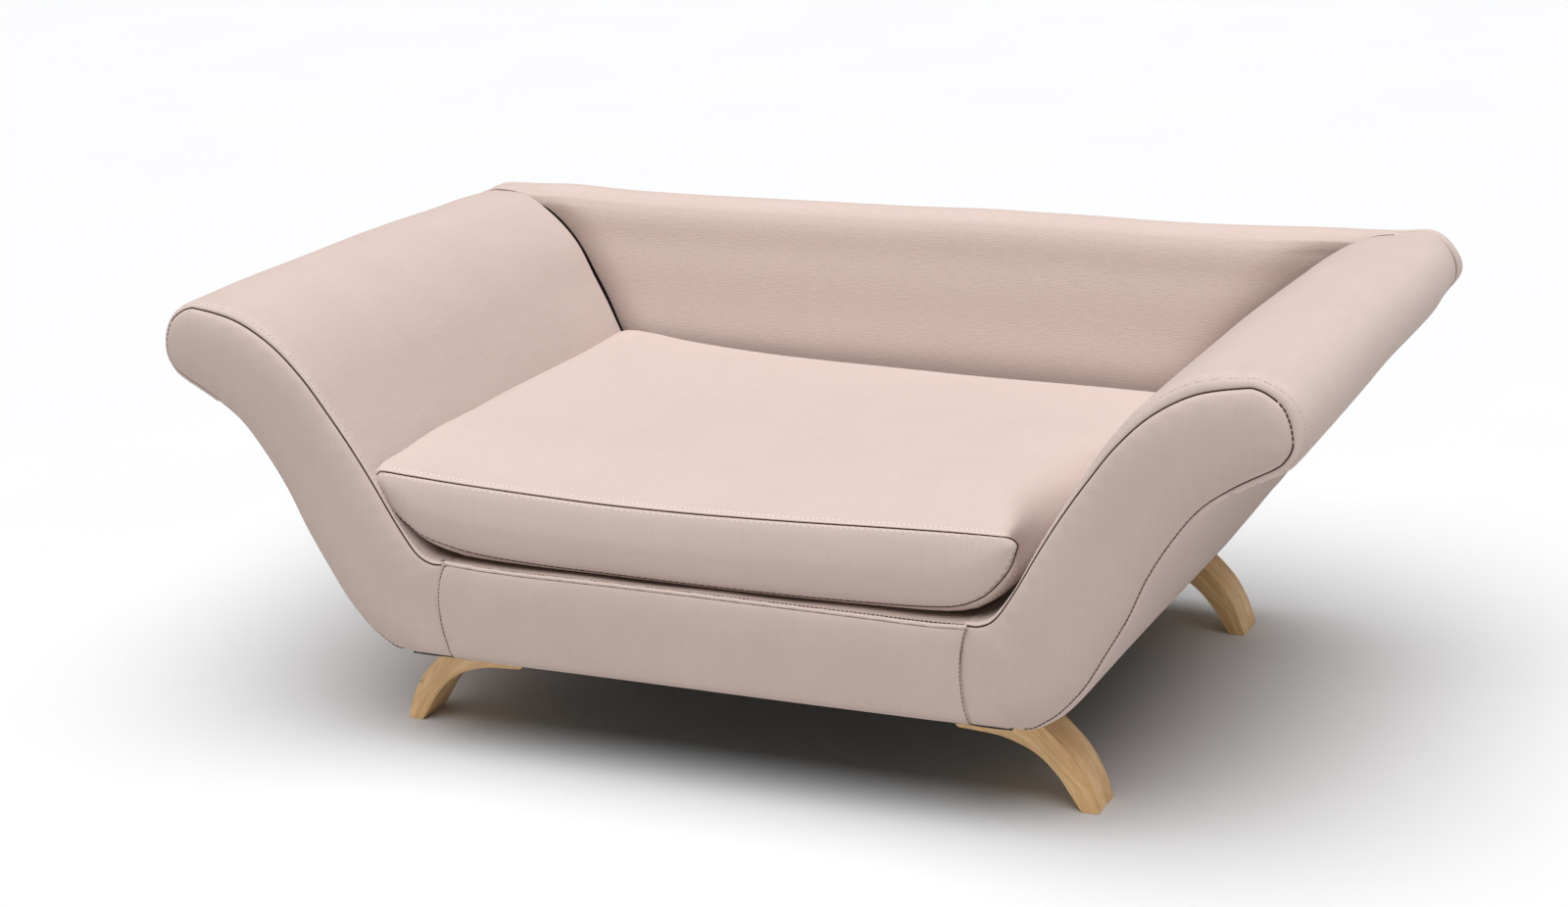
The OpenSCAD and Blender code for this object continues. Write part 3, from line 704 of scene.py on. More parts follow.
def arm_end(side, t):
    """Depth at which the wrap ends: just in front of the back, or flush with its end at the tip."""
    y = np.full(len(t), 225.0)
    p, n = crv(OC, t), out_norm(t)
    for _ in range(5):
        z = p[:, 1] + n[:, 1] * puff(side, t, y[:, None])[:, 0]
        y = np.minimum(back_y(z) + valley(z, side), 240.0)
    flush = np.interp(t, [9.4, 10, 11, 12, 13, 19.5], [238, 239.5, 242, 244.5, 246, 246])
    w = sst(9.0, 10.2, t)
    e = (y - GAP * (1 - 0.6 * sst(7.6, 9.0, t))) * (1 - w) + flush * w
    k = np.array([1, 2, 3, 2, 1.0]) / 9
    return np.convolve(np.pad(e, 2, mode="edge"), k, "valid")


def arm_skin(side, t, y, seam=True):
    """Points on the padded arm at (t, y), t (n,), y (n, m)."""
    e = y - YF
    p, n = crv(OC, t), out_norm(t)
    r = roll(e, 11.0)
    h = puff(side, t, y) * r + crv(SEAM_IN, t)[:, None] * (1 - r)
    if seam:
        low = sst(5.0, 2.0, t)[:, None]
        h = h - 0.9 * (1 - roll(e, 2.6))                          # the seam itself sits a little low
        h = h + low * 1.7 * gauss(e - 2.8, 2.2)                  # raised lip that the rail's welt runs into
        h = h - (0.35 + 0.35 * low) * gauss(e - 3.4, 1.0)         # row of topstitching
        s = arc_len(p)[:, None]
        h = h + 0.22 * np.sin(s * 0.55 + 1.3 * np.sin(s * 0.07)) * gauss(e - 9.0, 5.5)
        h = h + 0.35 * np.sin(s * 0.052 + side) * np.sin(y * 0.017 + s * 0.01) * roll(e, 40)
    x = p[:, None, 0] + n[:, None, 0] * h
    z = p[:, None, 1] + n[:, None, 1] * h
    return np.stack([x * side, y, z], -1), np.stack([n[:, 0] * side, n[:, 0] * 0, n[:, 1]], -1)


def grid_wv(outer, swap=False, edge=None):
    """Along-fabric millimetres of a grid of points."""
    du = np.linalg.norm(np.diff(outer, axis=0), axis=2)
    dv = np.linalg.norm(np.diff(outer, axis=1), axis=2)
    mu = du[:, outer.shape[1] // 2]
    mv = dv[outer.shape[0] // 2]
    u = np.r_[0, np.cumsum(mu)][:, None] + np.zeros(outer.shape[:2])
    v = np.r_[0, np.cumsum(mv)][None, :] + np.zeros(outer.shape[:2])
    e = np.zeros(outer.shape[:2]) if edge is None else edge
    return np.stack([v, u, e] if swap else [u, v, e], -1)


PIECES = {}


def piece(ob, body, slot, *replaced):
    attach(ob, body)
    if replaced:
        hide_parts(*replaced)
    PIECES[ob.name] = ob
    return ob


E_FRONT = np.array([0, 0.5, 1.2, 2.0, 2.8, 3.6, 4.4, 5.2, 6.0, 6.8, 7.8, 9.2, 11, 13.5, 17, 22, 29])
E_REAR = np.array([18, 13, 9, 6.5, 4.6, 3.2, 2.1, 1.2, 0.5, 0.12, 0])

# ------------------------------------------------------------------ arm wraps
for side, nm in ((1, "right"), (-1, "left")):
    t = even_t(OC, 0, T_SIDE, 4.0)
    ye = arm_end(side, t)
    mid = np.linspace(0, 1, 44)[1:-1]
    y0, y1 = YF + E_FRONT[-1], ye - E_REAR[0]
    yy = np.concatenate([np.broadcast_to(YF + E_FRONT, (len(t), len(E_FRONT))),
                         y0 + mid[None, :] * (y1 - y0)[:, None], ye[:, None] - E_REAR[None, :]], axis=1)
    outer, nr = arm_skin(side, t, yy)
    rr = np.interp(t, [0, 9.3, 11.0, 19.5], [5.5, 5.5, 1.0, 1.0])[:, None]
    er = ye[:, None] - yy
    drop = np.where(er < rr, rr - np.sqrt(np.maximum(0, rr**2 - (rr - np.minimum(er, rr)) ** 2)), 0)
    sarc = arc_len(crv(OC, t))
    et = (sarc[-1] - sarc)[:, None]
    drop = drop + 2.0 * (1 - roll(et, 3.0))
    outer = outer - nr[:, None, :] * drop[..., None]
    p, n = crv(OC, t), out_norm(t)
    yi = np.clip(yy, -268, None)
    inner = np.stack([side * (p[:, None, 0] - n[:, None, 0] * 19 + 0 * yi), yi, p[:, None, 1] - n[:, None, 1] * 19 + 0 * yi], -1)
    edge = gauss(yy - YF - 1.5, 3.0)
    ob = solid(nm + "_arm_wrap", outer, inner, M_wrap, grid_wv(outer, True, edge))
    piece(ob, "sofa", "cover_fabric", nm + "_arm_cover", nm + "_arm_foam")

# ------------------------------------------------------------------ side panels
SIDE_Y = np.array([-262, -180, -90, 0, 90, 180, 262.0])
SIDE_P = np.array([                                       # control points 19..29
    [2, 1, 0.5, 0, -0.5, -1, -1, -1, -1, -1, -0.5],
    [3, 3, 2, 2, 1, -0.6, -0.9, -0.9, -0.9, -0.9, -0.5],
    [3, 3, 3, 3, 3, 1, -0.5, -0.8, -0.8, -0.8, -0.5],
    [3, 3, 4, 4, 4, 2.5, 0.5, -0.5, -0.8, -0.8, -0.5],
    [3, 3.5, 4, 4, 4, 3, 1.5, 0, -0.8, -0.8, -0.5],
    [2.5, 3, 4, 4, 3, 1.5, 0.5, -0.3, -0.8, -0.8, -0.5],
    [0.3, 1, 1, 1, 0, -0.6, -0.8, -0.8, -0.8, -0.8, -0.5]])


def side_skin(side, t, y):
    p, n = crv(OC, t), out_norm(t)
    rows = np.stack([crv(r, np.clip(t - 19, 0, 10)) for r in SIDE_P])
    q = np.stack([np.interp(y[i], SIDE_Y, rows[:, i]) for i in range(len(t))])
    s = arc_len(p)[:, None]
    e = y - YF
    r = roll(e, 13)
    h = q * r * (0.4 + 0.6 * roll(282.0 - y, 30)) + crv(SEAM_IN, t)[:, None] * (1 - r)
    h = h - 0.4 * (1 - roll(e, 2.6)) - 0.5 * (1 - roll(281.5 - y, 3.0))
    h = h + 0.3 * np.sin(s * 0.03 + 0.6) * np.sin(y * 0.013 + 1.0) * roll(e, 60) * roll(282 - y, 60)
    h = h + 0.2 * np.sin(s * 0.5) * gauss(e - 7, 5)
    h = h - 1.2 * (1 - roll(s, 3.0)) - 0.5 * (1 - roll(s[-1] - s, 4))
    h = np.maximum(h, np.where(e > 8, -1.1, -5.8))
    x = p[:, None, 0] + n[:, None, 0] * h
    z = p[:, None, 1] + n[:, None, 1] * h
    return np.stack([side * x, y, z], -1)


for side, nm in ((1, "right"), (-1, "left")):
    t = even_t(OC, T_SIDE, T_END - 0.02, 4.0)
    t = np.concatenate([[t[0]], [t[0] + 0.03, t[0] + 0.08], t[1:-1], [t[-1]]])
    ef = np.array([0, 0.6, 1.4, 2.4, 4, 6, 8.5, 11.5, 16, 23, 33])
    yr_ = np.concatenate([YF + ef, np.linspace(YF + 33, 281.5 - 33, 40)[1:-1], 281.5 - ef[::-1]])
    yy = np.broadcast_to(yr_, (len(t), len(yr_)))
    outer = side_skin(side, t, yy)
    p, n = crv(OC, t), out_norm(t)
    yi = np.clip(yy, -279.5, 279.5)
    hh = (side * outer[..., 0] - p[:, None, 0]) * n[:, None, 0] + (outer[..., 2] - p[:, None, 1]) * n[:, None, 1]
    hi_ = np.where(yy - YF < 9, np.minimum(-1.5, hh - 0.8), -1.5)
    inner = np.stack([side * (p[:, None, 0] + n[:, None, 0] * hi_), yi, p[:, None, 1] + n[:, None, 1] * hi_], -1)
    edge = np.maximum(gauss(yy - YF - 1.5, 3.0), gauss(281.5 - yy, 3.0))
    ob = solid(nm + "_side_skin", outer, inner, M_wrap, grid_wv(outer, True, edge))
    piece(ob, "sofa", "cover_fabric", nm + "_side_panel")

# ------------------------------------------------------------------ front panels
SEAM_L = np.array([(-233, 176), (-237.5, 168), (-241, 152), (-242, 136), (-240.5, 118), (-237, 104), (-234, 92)], float)
SEAM_R = np.array([(239.5, 173.5), (237, 164), (234.6, 148), (234, 132), (235, 118), (237, 104), (240.5, 92)], float)


def crown(d, w):
    return roll(d, w)


for side, nm in ((1, "right"), (-1, "left")):
    t = even_t(OC, 0.0, T_END, 2.4)
    p, n = crv(OC, t), out_norm(t)
    edge_line = p + n * (crv(SEAM_IN, t) - 0.9)[:, None]
    rim = edge_line.copy()
    vs = crv(SEAM_R if side > 0 else SEAM_L * np.array([-1, 1]), np.linspace(6, 0, 34))
    edge_line = edge_line[edge_line[:, 0] > vs[-1][0] + 0.8]
    bottom = np.array([(x, 91.3) for x in np.linspace(275, vs[0][0] + 2, 14)[1:]])
    loop = np.concatenate([edge_line, bottom, vs])
    v2, tris, d = plane_mesh(loop, 4.2)
    s_arc = v2[:, 1] * 0.5 + v2[:, 0] * 0.3
    # distance to the vertical seam only: the crown runs through it, nearly flat
    dv = seg_dist(v2, np.vstack([vs, vs[::-1]]))
    do = seg_dist(v2, np.vstack([rim, rim[::-1]]))
    db = np.maximum(v2[:, 1] - 91.3, 0)
    wide = 30.0
    h = 9.3 * roll(do, wide) * (0.42 + 0.58 * roll(db, 26)) * (0.36 + 0.64 * sst(0, 60, dv))
    h = np.minimum(h, 9.3) * roll(db, 7)
    h = h - 0.6 * gauss(dv, 1.4) + 0.18 * np.sin(s_arc * 0.6) * gauss(do - 7, 5)
    h = h + 0.5 * np.sin(v2[:, 0] * 0.031 + v2[:, 1] * 0.021) * roll(do, 30)
    y = YF + 0.2 - np.maximum(h, -0.5)
    front = np.stack([side * v2[:, 0], y, v2[:, 1]], 1)
    back = np.stack([side * v2[:, 0], np.full(len(v2), -270.5), v2[:, 1]], 1)
    wv = np.stack([v2[:, 1], v2[:, 0], gauss(do, 3.0)], 1)
    ob = plane_solid(nm + "_arm_front", v2, tris, front, back, M_front_shaded, wv)
    piece(ob, "sofa", "cover_fabric", nm + "_arm_front_panel", nm + "_arm_front_pad")


# rail panel, between the two vertical seams
LIPX = np.array([-245, -226, -200, -160, -116, -78, 0, 80, 160, 190, 210, 230, 245.0])
LIPZ = np.array([178, 175.6, 174, 173.2, 173.5, 173.6, 173.2, 172.4, 171.6, 171, 171, 171.8, 173.5])


def lip_z(x):
    return np.interp(x, LIPX, LIPZ)


def rail_profile(zz, top):
    """Depth of the rail's front fabric at height zz, and its roll under the bottom edge."""
    d = np.minimum(zz - 91, 40)
    h = 4.6 * roll(top - zz, 34) * (0.5 + 0.5 * roll(d, 30))
    return h


nu, nz = 120, 34
zl = np.linspace(0, 1, nz)
rail_outer = np.zeros((nu, nz + 5, 3))
for i, a in enumerate(np.linspace(0, 1, nu)):
    left = np.interp(1 - zl, np.linspace(0, 1, 50), crv(SEAM_L, np.linspace(0, 6, 50))[:, 0])
    right = np.interp(1 - zl, np.linspace(0, 1, 50), crv(SEAM_R, np.linspace(0, 6, 50))[:, 0])
    x = left + (right - left) * a
    top = lip_z(x)
    z = 91.6 + (top - 0.4 - 91.6) * (1 - (1 - zl) ** 1.25)
    h = rail_profile(z, top) + 0.2 + 0.35 * np.sin(x * 0.021) * roll(top - z, 30)
    dv = np.minimum(x - left, right - x)
    h = h * (0.72 + 0.28 * sst(0, 50, dv)) - 1.1 * gauss(dv, 1.6)
    bot = roll(z - 91.3, 5.0)
    y = YF - 2.0 - h + 3.2 * (1 - bot)
    col = np.stack([x, y, z], 1)
    under = np.array([(x[0], YF + 2.2, 91.05), (x[0], YF + 5, 91.0), (x[0], YF + 8, 91.0), (x[0], YF + 11, 91.0), (x[0], YF + 14, 91.0)])
    rail_outer[i] = np.vstack([under[::-1], col])
rail_inner = rail_outer.copy()
rail_inner[..., 1] = np.maximum(rail_outer[..., 1] + 9.0, -270.6)
rail_inner[..., 2] = np.clip(rail_outer[..., 2], 92.6, 170.5)
rail_inner[:, :5, 1] = rail_outer[:, :5, 1]
rail_inner[:, :5, 2] = 92.4
ob = solid("front_rail_skin", rail_outer, rail_inner, M_front_shaded, grid_wv(rail_outer, True))
piece(ob, "sofa", "cover_fabric", "front_rail_cover", "front_rail_pad")

# welt: the rolled edge that the deck fabric makes over the rail's top seam
wx = np.linspace(-234, 240, 160)
wpath = np.stack([wx, np.full_like(wx, YF - 1.4), lip_z(wx) + 1.15 + 0.12 * np.sin(wx * 0.5) + 0.1 * np.sin(wx * 0.23)], 1)
wn = np.tile([0, -0.5, 0.86], (len(wx), 1))
ob = tube("front_welt", wpath, 1.75, M_wrap, 12, False, (wn, 1.0),
          wv=np.repeat(np.stack([wx, wx * 0, wx * 0 + 0.8], 1), 12, 0) + np.tile(np.stack([np.zeros(12), np.arange(12) * 0.9, np.zeros(12)], 1), (len(wx), 1)))
piece(ob, "sofa", "cover_fabric", "front_rail_welt")

# ------------------------------------------------------------------ deck
dx = np.concatenate([[-238.4, -236.5], np.linspace(-234, 238, 90), [239.2]])
dy = np.concatenate([YF + np.array([-1.0, 0.2, 1.2, 2.2, 3.2, 4.2, 5.2, 6.2, 8, 11, 15, 20, 27]), np.linspace(-240, 180, 44), [183.5, 185.6]])
gx, gy = np.meshgrid(dx, dy, indexing="ij")
lz = lip_z(gx)
zz = lz + 1.4 + (175.0 - lz - 1.4) * sst(0, 12, gy - YF)
zz = zz - 1.0 * gauss(gy - YF - 4.4, 1.5)
zz = zz + 0.5 * np.sin(gx * 0.05 + 1) * gauss(gy - YF - 14, 10) - 0.25
zz = zz - 0.3 * gauss(np.abs(gx) - 238, 2)
outer = np.stack([gx, gy, zz], -1)
inner = outer.copy()
inner[..., 2] = np.minimum(zz - 1.0, 173.6)
ob = solid("deck_sheet", outer, inner, M_front_shaded, grid_wv(outer))
piece(ob, "sofa", "cover_fabric", "deck_cover")

# ------------------------------------------------------------------ back
# crest height across the back, sewn a little low in its middle
CRX = np.array([-462, -394, -327, -261, -180, -90, -9, 51, 110, 168, 225, 281, 336, 390, 443, 466.0])
CRZ = np.array([380.5, 384, 381, 379.6, 379.4, 379.3, 379.3, 380.3, 379.7, 378.9, 377.4, 377.2, 378.2, 379.6, 379.3, 378.6])


def rear_point(side, t):
    """The arm's outline at its rear end."""
    p, n = crv(OC, t), out_norm(t)
    h = puff(side, t, np.full((len(t), 1), 246.0))[:, 0]
    q = p + n * h[:, None]
    q[:, 0] *= side
    return q, np.stack([n[:, 0] * side, n[:, 1]], 1)


tt = even_t(OC, 10.9, T_SIDE, 3.6)
tt = even_t(OC, 10.9, 19.9, 3.6)
qr, nrt = rear_point(1, tt)
ql, nlt = rear_point(-1, tt)
cx = np.linspace(-456, 456, 190)
cz = crv(CRZ, np.interp(cx, CRX, np.arange(len(CRX))))
cz = np.where(cx < -440, cz + (381.0 - cz) * sst(-440, -466, cx), cz)
ql = ql + nlt * (4.2 * sst(12.2, 11.0, tt))[:, None]
top = np.stack([cx, cz], 1)
U = np.vstack([ql[::-1], top, qr])
tpar = np.concatenate([tt[::-1], np.zeros(len(cx)), tt])
U = np.stack([np.convolve(np.pad(U[:, k], 2, mode="edge"), np.array([1, 2, 3, 2, 1]) / 9, "valid") for k in (0, 1)], 1)
tan = np.gradient(U, axis=0)
tan /= np.linalg.norm(tan, axis=1)[:, None]
NIN = np.stack([tan[:, 1], -tan[:, 0]], 1)       # inward: down along the crest
is_tip = tpar > 0
ux = np.abs(U[:, 0])
# how far down the front the surface runs
O_in_t = np.linspace(0, 9.5, 400)
o_in = crv(OC, O_in_t)
arm_z = np.interp(ux, o_in[:, 0], o_in[:, 1], left=175, right=380)
deep = np.where(is_tip, 9.0, np.clip(U[:, 1] - (arm_z - 34), 9.0, 206.0))
deep = np.where((~is_tip) & (ux > 425), 9 + (deep - 9) * sst(452, 425, ux), deep)
k = np.ones(9) / 9
deep = np.convolve(np.pad(deep, 4, mode="edge"), k, "valid")
deep = np.where(is_tip, 9.0, np.clip(deep, 9.0, U[:, 1] - 174.2))
# where its front edge lies at the tips, flush with the arm's end
yflush = np.where(is_tip, np.interp(tpar, [10.9, 12, 13, 19.9], [241.5, 244.5, 246, 246]), np.interp(ux, [425, 456], [236, 241]))
wt = np.where(is_tip, 1.0, sst(415, 456, ux))
RAD = np.where(is_tip, np.interp(tpar, [10.9, 14.0, 15.0, 15.8, 16.5, 18, 19.9], [23, 19, 11, 4, 3.2, 3, 2.5]), np.interp(ux, [415, 456], [29, 23.5]))
FL = np.where(is_tip, np.interp(tpar, [10.9, 13.5, 15, 17, 19.9], [4, 6, 11, 13, 12]), np.interp(ux, [415, 456], [15, 4.5]))
# the left tip is rounder at its top rear corner
is_left = U[:, 0] < 0
RAD = np.where(is_left & is_tip, np.minimum(RAD, np.interp(tpar, [10.9, 13.5, 15.5], [19, 19, 30])), RAD)
RAD = np.where(is_left & ~is_tip, np.interp(ux, [415, 456], [29, 19.5]), RAD)
FL = np.where(is_left & is_tip, np.minimum(FL, np.interp(tpar, [10.9, 13.5, 14.6], [3, 5, 13])), FL)
FL = np.where(is_left & ~is_tip, np.interp(ux, [415, 456], [15, 3.5]), FL)
nf, nb, nr_ = 46, 16, 5
cols = []
insets = []
fr = np.linspace(1, 0, nf) ** 1.5
for i in range(len(U)):
    ins = deep[i] * fr
    zc = 381 - ins
    yb = np.interp(zc, _bz, _by)
    # flush variant: a short wall with a small rounded edge
    yt = yflush[i] + 0.3 + (252 - yflush[i] - 0.3) * roll(9.0 * (1 - fr) - 7.2, 1.8) ** 1.5
    yt = np.where(fr < 0.001, 252.0, yt)
    yfront = yb * (1 - wt[i]) + yt * wt[i]
    a = np.linspace(0, math.pi / 2, nb)[1:]
    yrr = 282 - RAD[i] + RAD[i] * np.sin(a)
    irr = RAD[i] * (1 - np.cos(a))
    ylast = np.full(nr_, 282.0)
    ilast = RAD[i] + np.linspace(0, FL[i], nr_ + 1)[1:]
    extra_y = 252 + (30 - RAD[i]) * np.array([0.25, 0.5, 0.75, 1.0])
    cols.append(np.concatenate([yfront, extra_y, yrr, ylast]))
    insets.append(np.concatenate([ins, np.zeros(4), irr, ilast]))
yy, ii = np.array(cols), np.array(insets)
# the crest is soft: very shallow hollows between the ribs
soft = 0.45 * np.sin(U[:, 0] * 0.014 + 0.5)[:, None] * np.sin(ii * 0.013 + 0.4) * (~is_tip)[:, None]
X = U[:, None, 0] + NIN[:, None, 0] * ii
Z = U[:, None, 1] + NIN[:, None, 1] * ii
front_zone = (np.arange(yy.shape[1]) < nf)[None, :]
pull = np.zeros_like(yy)
# painted shade: shade darkens the back's colour beside and behind each arm's end, widest on the right, and fades out at
# the crest
shade = np.zeros_like(yy)
for sd in (1, -1):
    ta = np.linspace(0, 10, 160)
    pa, na = crv(OC, ta), out_norm(ta)
    prof = pa + na * puff(sd, ta, np.full((160, 1), 225.0))
    prof[:, 0] *= sd
    zs = np.maximum.accumulate(prof[:, 1])
    m = (X * sd > 0) & front_zone
    pts = np.stack([X[m], Z[m]], 1)
    dist = seg_dist(pts, np.vstack([prof, prof[::-1]]))
    behind = np.abs(pts[:, 0]) > np.interp(pts[:, 1], zs, np.abs(prof[:, 0]))
    pull[m] = valley(pts[:, 1], sd) * np.where(behind, 1.0, gauss(dist, 24.0 if sd > 0 else 15.0))
    near = np.interp(pts[:, 1], [235, 270, 302, 332, 356], [26, 20, 12, 6, 0]) if sd > 0 else 0.0
    shade[m] = np.where(behind, 1.0, np.exp(-np.maximum(dist - near, 0) / (13.0 if sd > 0 else 9.0))) * (1 - 0.9 * sst(352, 378, pts[:, 1]))
yy = yy + np.where(front_zone, (soft * (ii > 0.5) + pull) * (1 - wt)[:, None], 0)
low = gauss(yy - 282, 0.3) * np.clip(1 - (FL[:, None] + RAD[:, None] - ii) / 3.0, 0, 1) * 0.7
outer = np.stack([X, yy - low * (ii > RAD[:, None]), Z], -1)
# inner side of the padding: 15 mm deep on the front, less at the roll
th = np.concatenate([np.full(nf - 8, 15.0), np.linspace(15, 12, 8), np.full(4, 12.0), np.full(nb - 1, 12.0), np.linspace(12, 1.0, nr_)])
dU = np.gradient(outer, axis=0)
dV = np.gradient(outer, axis=1)
nn = np.cross(dU, dV)
nn /= np.maximum(np.linalg.norm(nn, axis=2), 1e-9)[..., None]
if (nn[len(U) // 2, 5] * np.array([0, -1, 0])).sum() < 0:
    nn = -nn
thin = np.where(is_tip, 0.55, 1.0)[:, None]
inner = outer - nn * (th[None, :] * thin)[..., None]
inner[..., 1] = np.minimum(inner[..., 1], 281.0)
sU = arc_len(np.column_stack([U, 0 * ux]))
sV = np.concatenate([[0], np.cumsum(np.linalg.norm(np.diff(outer[len(U) // 2], axis=0), axis=1))])
sV = sV[None, :] - sV[nf - 1] + np.zeros((len(U), 1))
fscale = deep[:, None] / 206.0
sV = np.where(sV < 0, sV * fscale, sV)
wvb = np.stack([sU[:, None] + 0 * sV, sV, -1.0 * shade], -1)
ob = solid("back_skin", outer, inner, M_back_lit, wvb)
piece(ob, "sofa", "cover_fabric", "back_cover", "back_foam")
BACK_RING = outer[:, -1, :].copy()
BACK_RING_IN = outer[:, -3, :].copy()

# ------------------------------------------------------------------ rear panel
t = even_t(OC, 19.6, 28.2, 3.2)
p, n = crv(OC, t), out_norm(t)
rside = p - n * 1.6
bot = np.array([(x, 91.4) for x in np.linspace(284, 0, 72)[1:]])
topl = np.array([(x, 352.0) for x in np.linspace(0, 436, 100)])
cornr = crv(np.array([(436, 352), (452, 359), (467, 363), (480, 359), (487, 349), (488, 338), (481, 325), (468, 316), rside[0]]), np.linspace(0, 8, 38))[1:-1]
right = np.concatenate([topl[1:], cornr, rside, bot[:-1]])
loop = np.concatenate([right, np.array([(0, 91.4)]), (right * np.array([-1, 1]))[::-1], np.array([(0, 352.0)])])
v2, tris, d = plane_mesh(loop, 7.0, rings=(1.2, 2.8, 5, 8, 12))
ax = np.abs(v2[:, 0])
dtop = np.clip(334 - v2[:, 1], 0, None)
do = seg_dist(v2, np.vstack([rside * np.array([1, 1]), rside[::-1]]))
do = np.minimum(do, seg_dist(v2, np.vstack([rside * np.array([-1, 1]), (rside * np.array([-1, 1]))[::-1]])))
h = 3.6 * roll(dtop, 45) * roll(do, 40) * roll(v2[:, 1] - 91, 30)
h = h + 0.5 * np.sin(v2[:, 0] * 0.02 + 1) * np.sin(v2[:, 1] * 0.03) * roll(do, 50) * roll(dtop, 50)
y = 281.0 + h - 1.0 * (1 - roll(do, 3)) - 1.2 * (1 - roll(np.maximum(v2[:, 1] - 91.2, 0), 3))
y = np.where(dtop <= 0, 280.6, y)
front = np.stack([v2[:, 0], y, v2[:, 1]], 1)
back = np.stack([v2[:, 0], np.full(len(v2), 279.3), v2[:, 1]], 1)
ob = plane_solid("rear_skin", v2, tris, front, back, M_back_lit, np.stack([v2[:, 0], v2[:, 1], 0 * v2[:, 0]], 1))
piece(ob, "sofa", "cover_fabric", "rear_panel")

# ------------------------------------------------------------------ dust cover
gx, gy = np.meshgrid(np.linspace(-275, 275, 112), np.linspace(-279, 279, 114), indexing="ij")
ex = np.minimum(275 - np.abs(gx), 30) / 30
ey = np.minimum(279 - np.abs(gy), 30) / 30
leg = np.zeros_like(gx)
for ly in (-200.5, 218.5):
    leg = np.maximum(leg, sst(60, 30, np.abs(gy - ly)) * sst(150, 190, np.abs(gx)))
sag = 2.6 * sst(0, 1, ex) * sst(0, 1, ey) * (1 - leg)
pk = 0.55 * (np.abs(np.sin(gy * math.pi / 34)) * gauss(275 - np.abs(gx), 22) + np.abs(np.sin(gx * math.pi / 34)) * gauss(279 - np.abs(gy), 22))
wr = 0.35 * np.sin((gx + gy) * 0.05) * sst(0, 1, ex) * sst(0, 1, ey)
zlow = 90.9 - (sag + np.maximum(wr, -0.2) + pk * (1 - leg)) * (1 - leg) + 0.08
outer = np.stack([gx, gy, zlow], -1)
inner = outer.copy()
inner[..., 2] = zlow + 0.8
ob = solid("dust_sheet", outer, inner, M_dust, grid_wv(outer))
piece(ob, "sofa", "dust_cloth", "dust_cover")

# staples that hold its folded hem
st = []
for x in np.arange(-255, 256, 34.0):
    for y in (-272.0, 272.0):
        st.append((np.array([(x - 5, y, 91.2), (x - 5, y, 90.1), (x, y, 89.9), (x + 5, y, 90.1), (x + 5, y, 91.2)]), (0, 1, 0)))
for y in np.arange(-240, 241, 34.0):
    if min(abs(y + 200.5), abs(y - 218.5)) < 26:
        continue
    for x in (-268.0, 268.0):
        st.append((np.array([(x, y - 5, 91.2), (x, y - 5, 90.1), (x, y, 89.9), (x, y + 5, 90.1), (x, y + 5, 91.2)]), (1, 0, 0)))
ob = join_parts("dust_sheet_staples", [tube_mesh(q, 0.45, 6, False, (np.tile(nv, (5, 1)), 1.0)) for q, nv in st], M_steel)
piece(ob, "sofa", "steel")

# ------------------------------------------------------------------ cushion
CF = np.array([(-234, 188.5), (-259, 195), (-271, 202), (-285, 213), (-294, 226), (-301, 238), (-303, 244), (-300.5, 249), (-293, 250.5),
               (-270, 249), (-217, 246), (-144, 243), (-78, 241), (0, 241), (82, 243), (164, 246), (220, 248), (262, 249), (274, 248.5),
               (280, 245), (281, 240), (278, 232), (273, 221), (262, 207), (250, 196), (231, 187), (205, 183), (150, 180.5), (78, 179),
               (0, 179), (-83, 180), (-150, 181), (-205, 184)])
CM = np.array([(-226, 177), (-250, 184), (-264, 193), (-278, 208), (-289, 224), (-298, 239), (-303.5, 251), (-303, 259), (-295, 261.6),
               (-272, 260.2), (-217, 256), (-144, 253), (-78, 252), (0, 252), (82, 252.5), (160, 253), (210, 252), (234, 248.5), (251, 242),
               (264, 233), (272, 223), (274.5, 213), (271, 204), (262, 194.5), (251, 186.5), (238, 180), (212, 176), (150, 175.5), (78, 175.4),
               (0, 175.4), (-83, 175.4), (-150, 175.5), (-203, 175.8)])
CB = np.array([(-226, 177), (-250, 184), (-264, 193), (-278, 208), (-288, 224), (-296, 239), (-300, 250), (-298, 258), (-289, 261.5),
               (-268, 261), (-217, 254.5), (-144, 248.5), (-78, 245.5), (0, 243.5), (82, 241.5), (164, 240.5), (220, 239.5), (255, 238.5), (275, 236.5),
               (286, 231), (289.5, 223), (287, 215), (281, 207), (270, 197), (257, 188), (238, 180), (212, 176), (150, 175.5), (78, 175.4),
               (0, 175.4), (-83, 175.4), (-150, 175.5), (-203, 175.8)])
CS = CB + (np.array([0, 211.0]) - CB) * np.array([0.016, 0.11])   # seam of the rear panel
NC = len(CF)
topw = np.array([1.0 if 8 <= i <= 18 else (0.5 if i in (7, 19) else 0.0) for i in range(NC)])
CY0, CY1 = -270.0, 176.2
tc = np.linspace(0, NC, 2000)
sc = arc_len(crv_closed(CM, tc))
ncu = 210
ct = np.interp(np.linspace(0, sc[-1], ncu + 1), sc, tc)[:-1]
f_pts, m_pts, b_pts, s_pts = (crv_closed(c, ct) for c in (CF, CM, CB, CS))
tw = np.clip(np.interp(ct, np.arange(NC + 1), np.r_[topw, topw[0]]), 0, 1)
cyv = np.concatenate([CY0 + np.array([0, 0.6, 1.4, 2.4, 3.4, 4.4, 5.4, 6.4, 7.6, 9.5, 12, 15.5, 20, 26, 34]),
                      np.linspace(-228, 140, 50), CY1 - np.array([28, 21, 15.5, 11.5, 8.2, 5.6, 3.6, 2.1, 1.0, 0.3, 0])])
e = cyv - CY0
w_side = roll(e, 24)
w_top = 0.22 * roll(e, 7) + 0.78 * sst(0, 120, e)
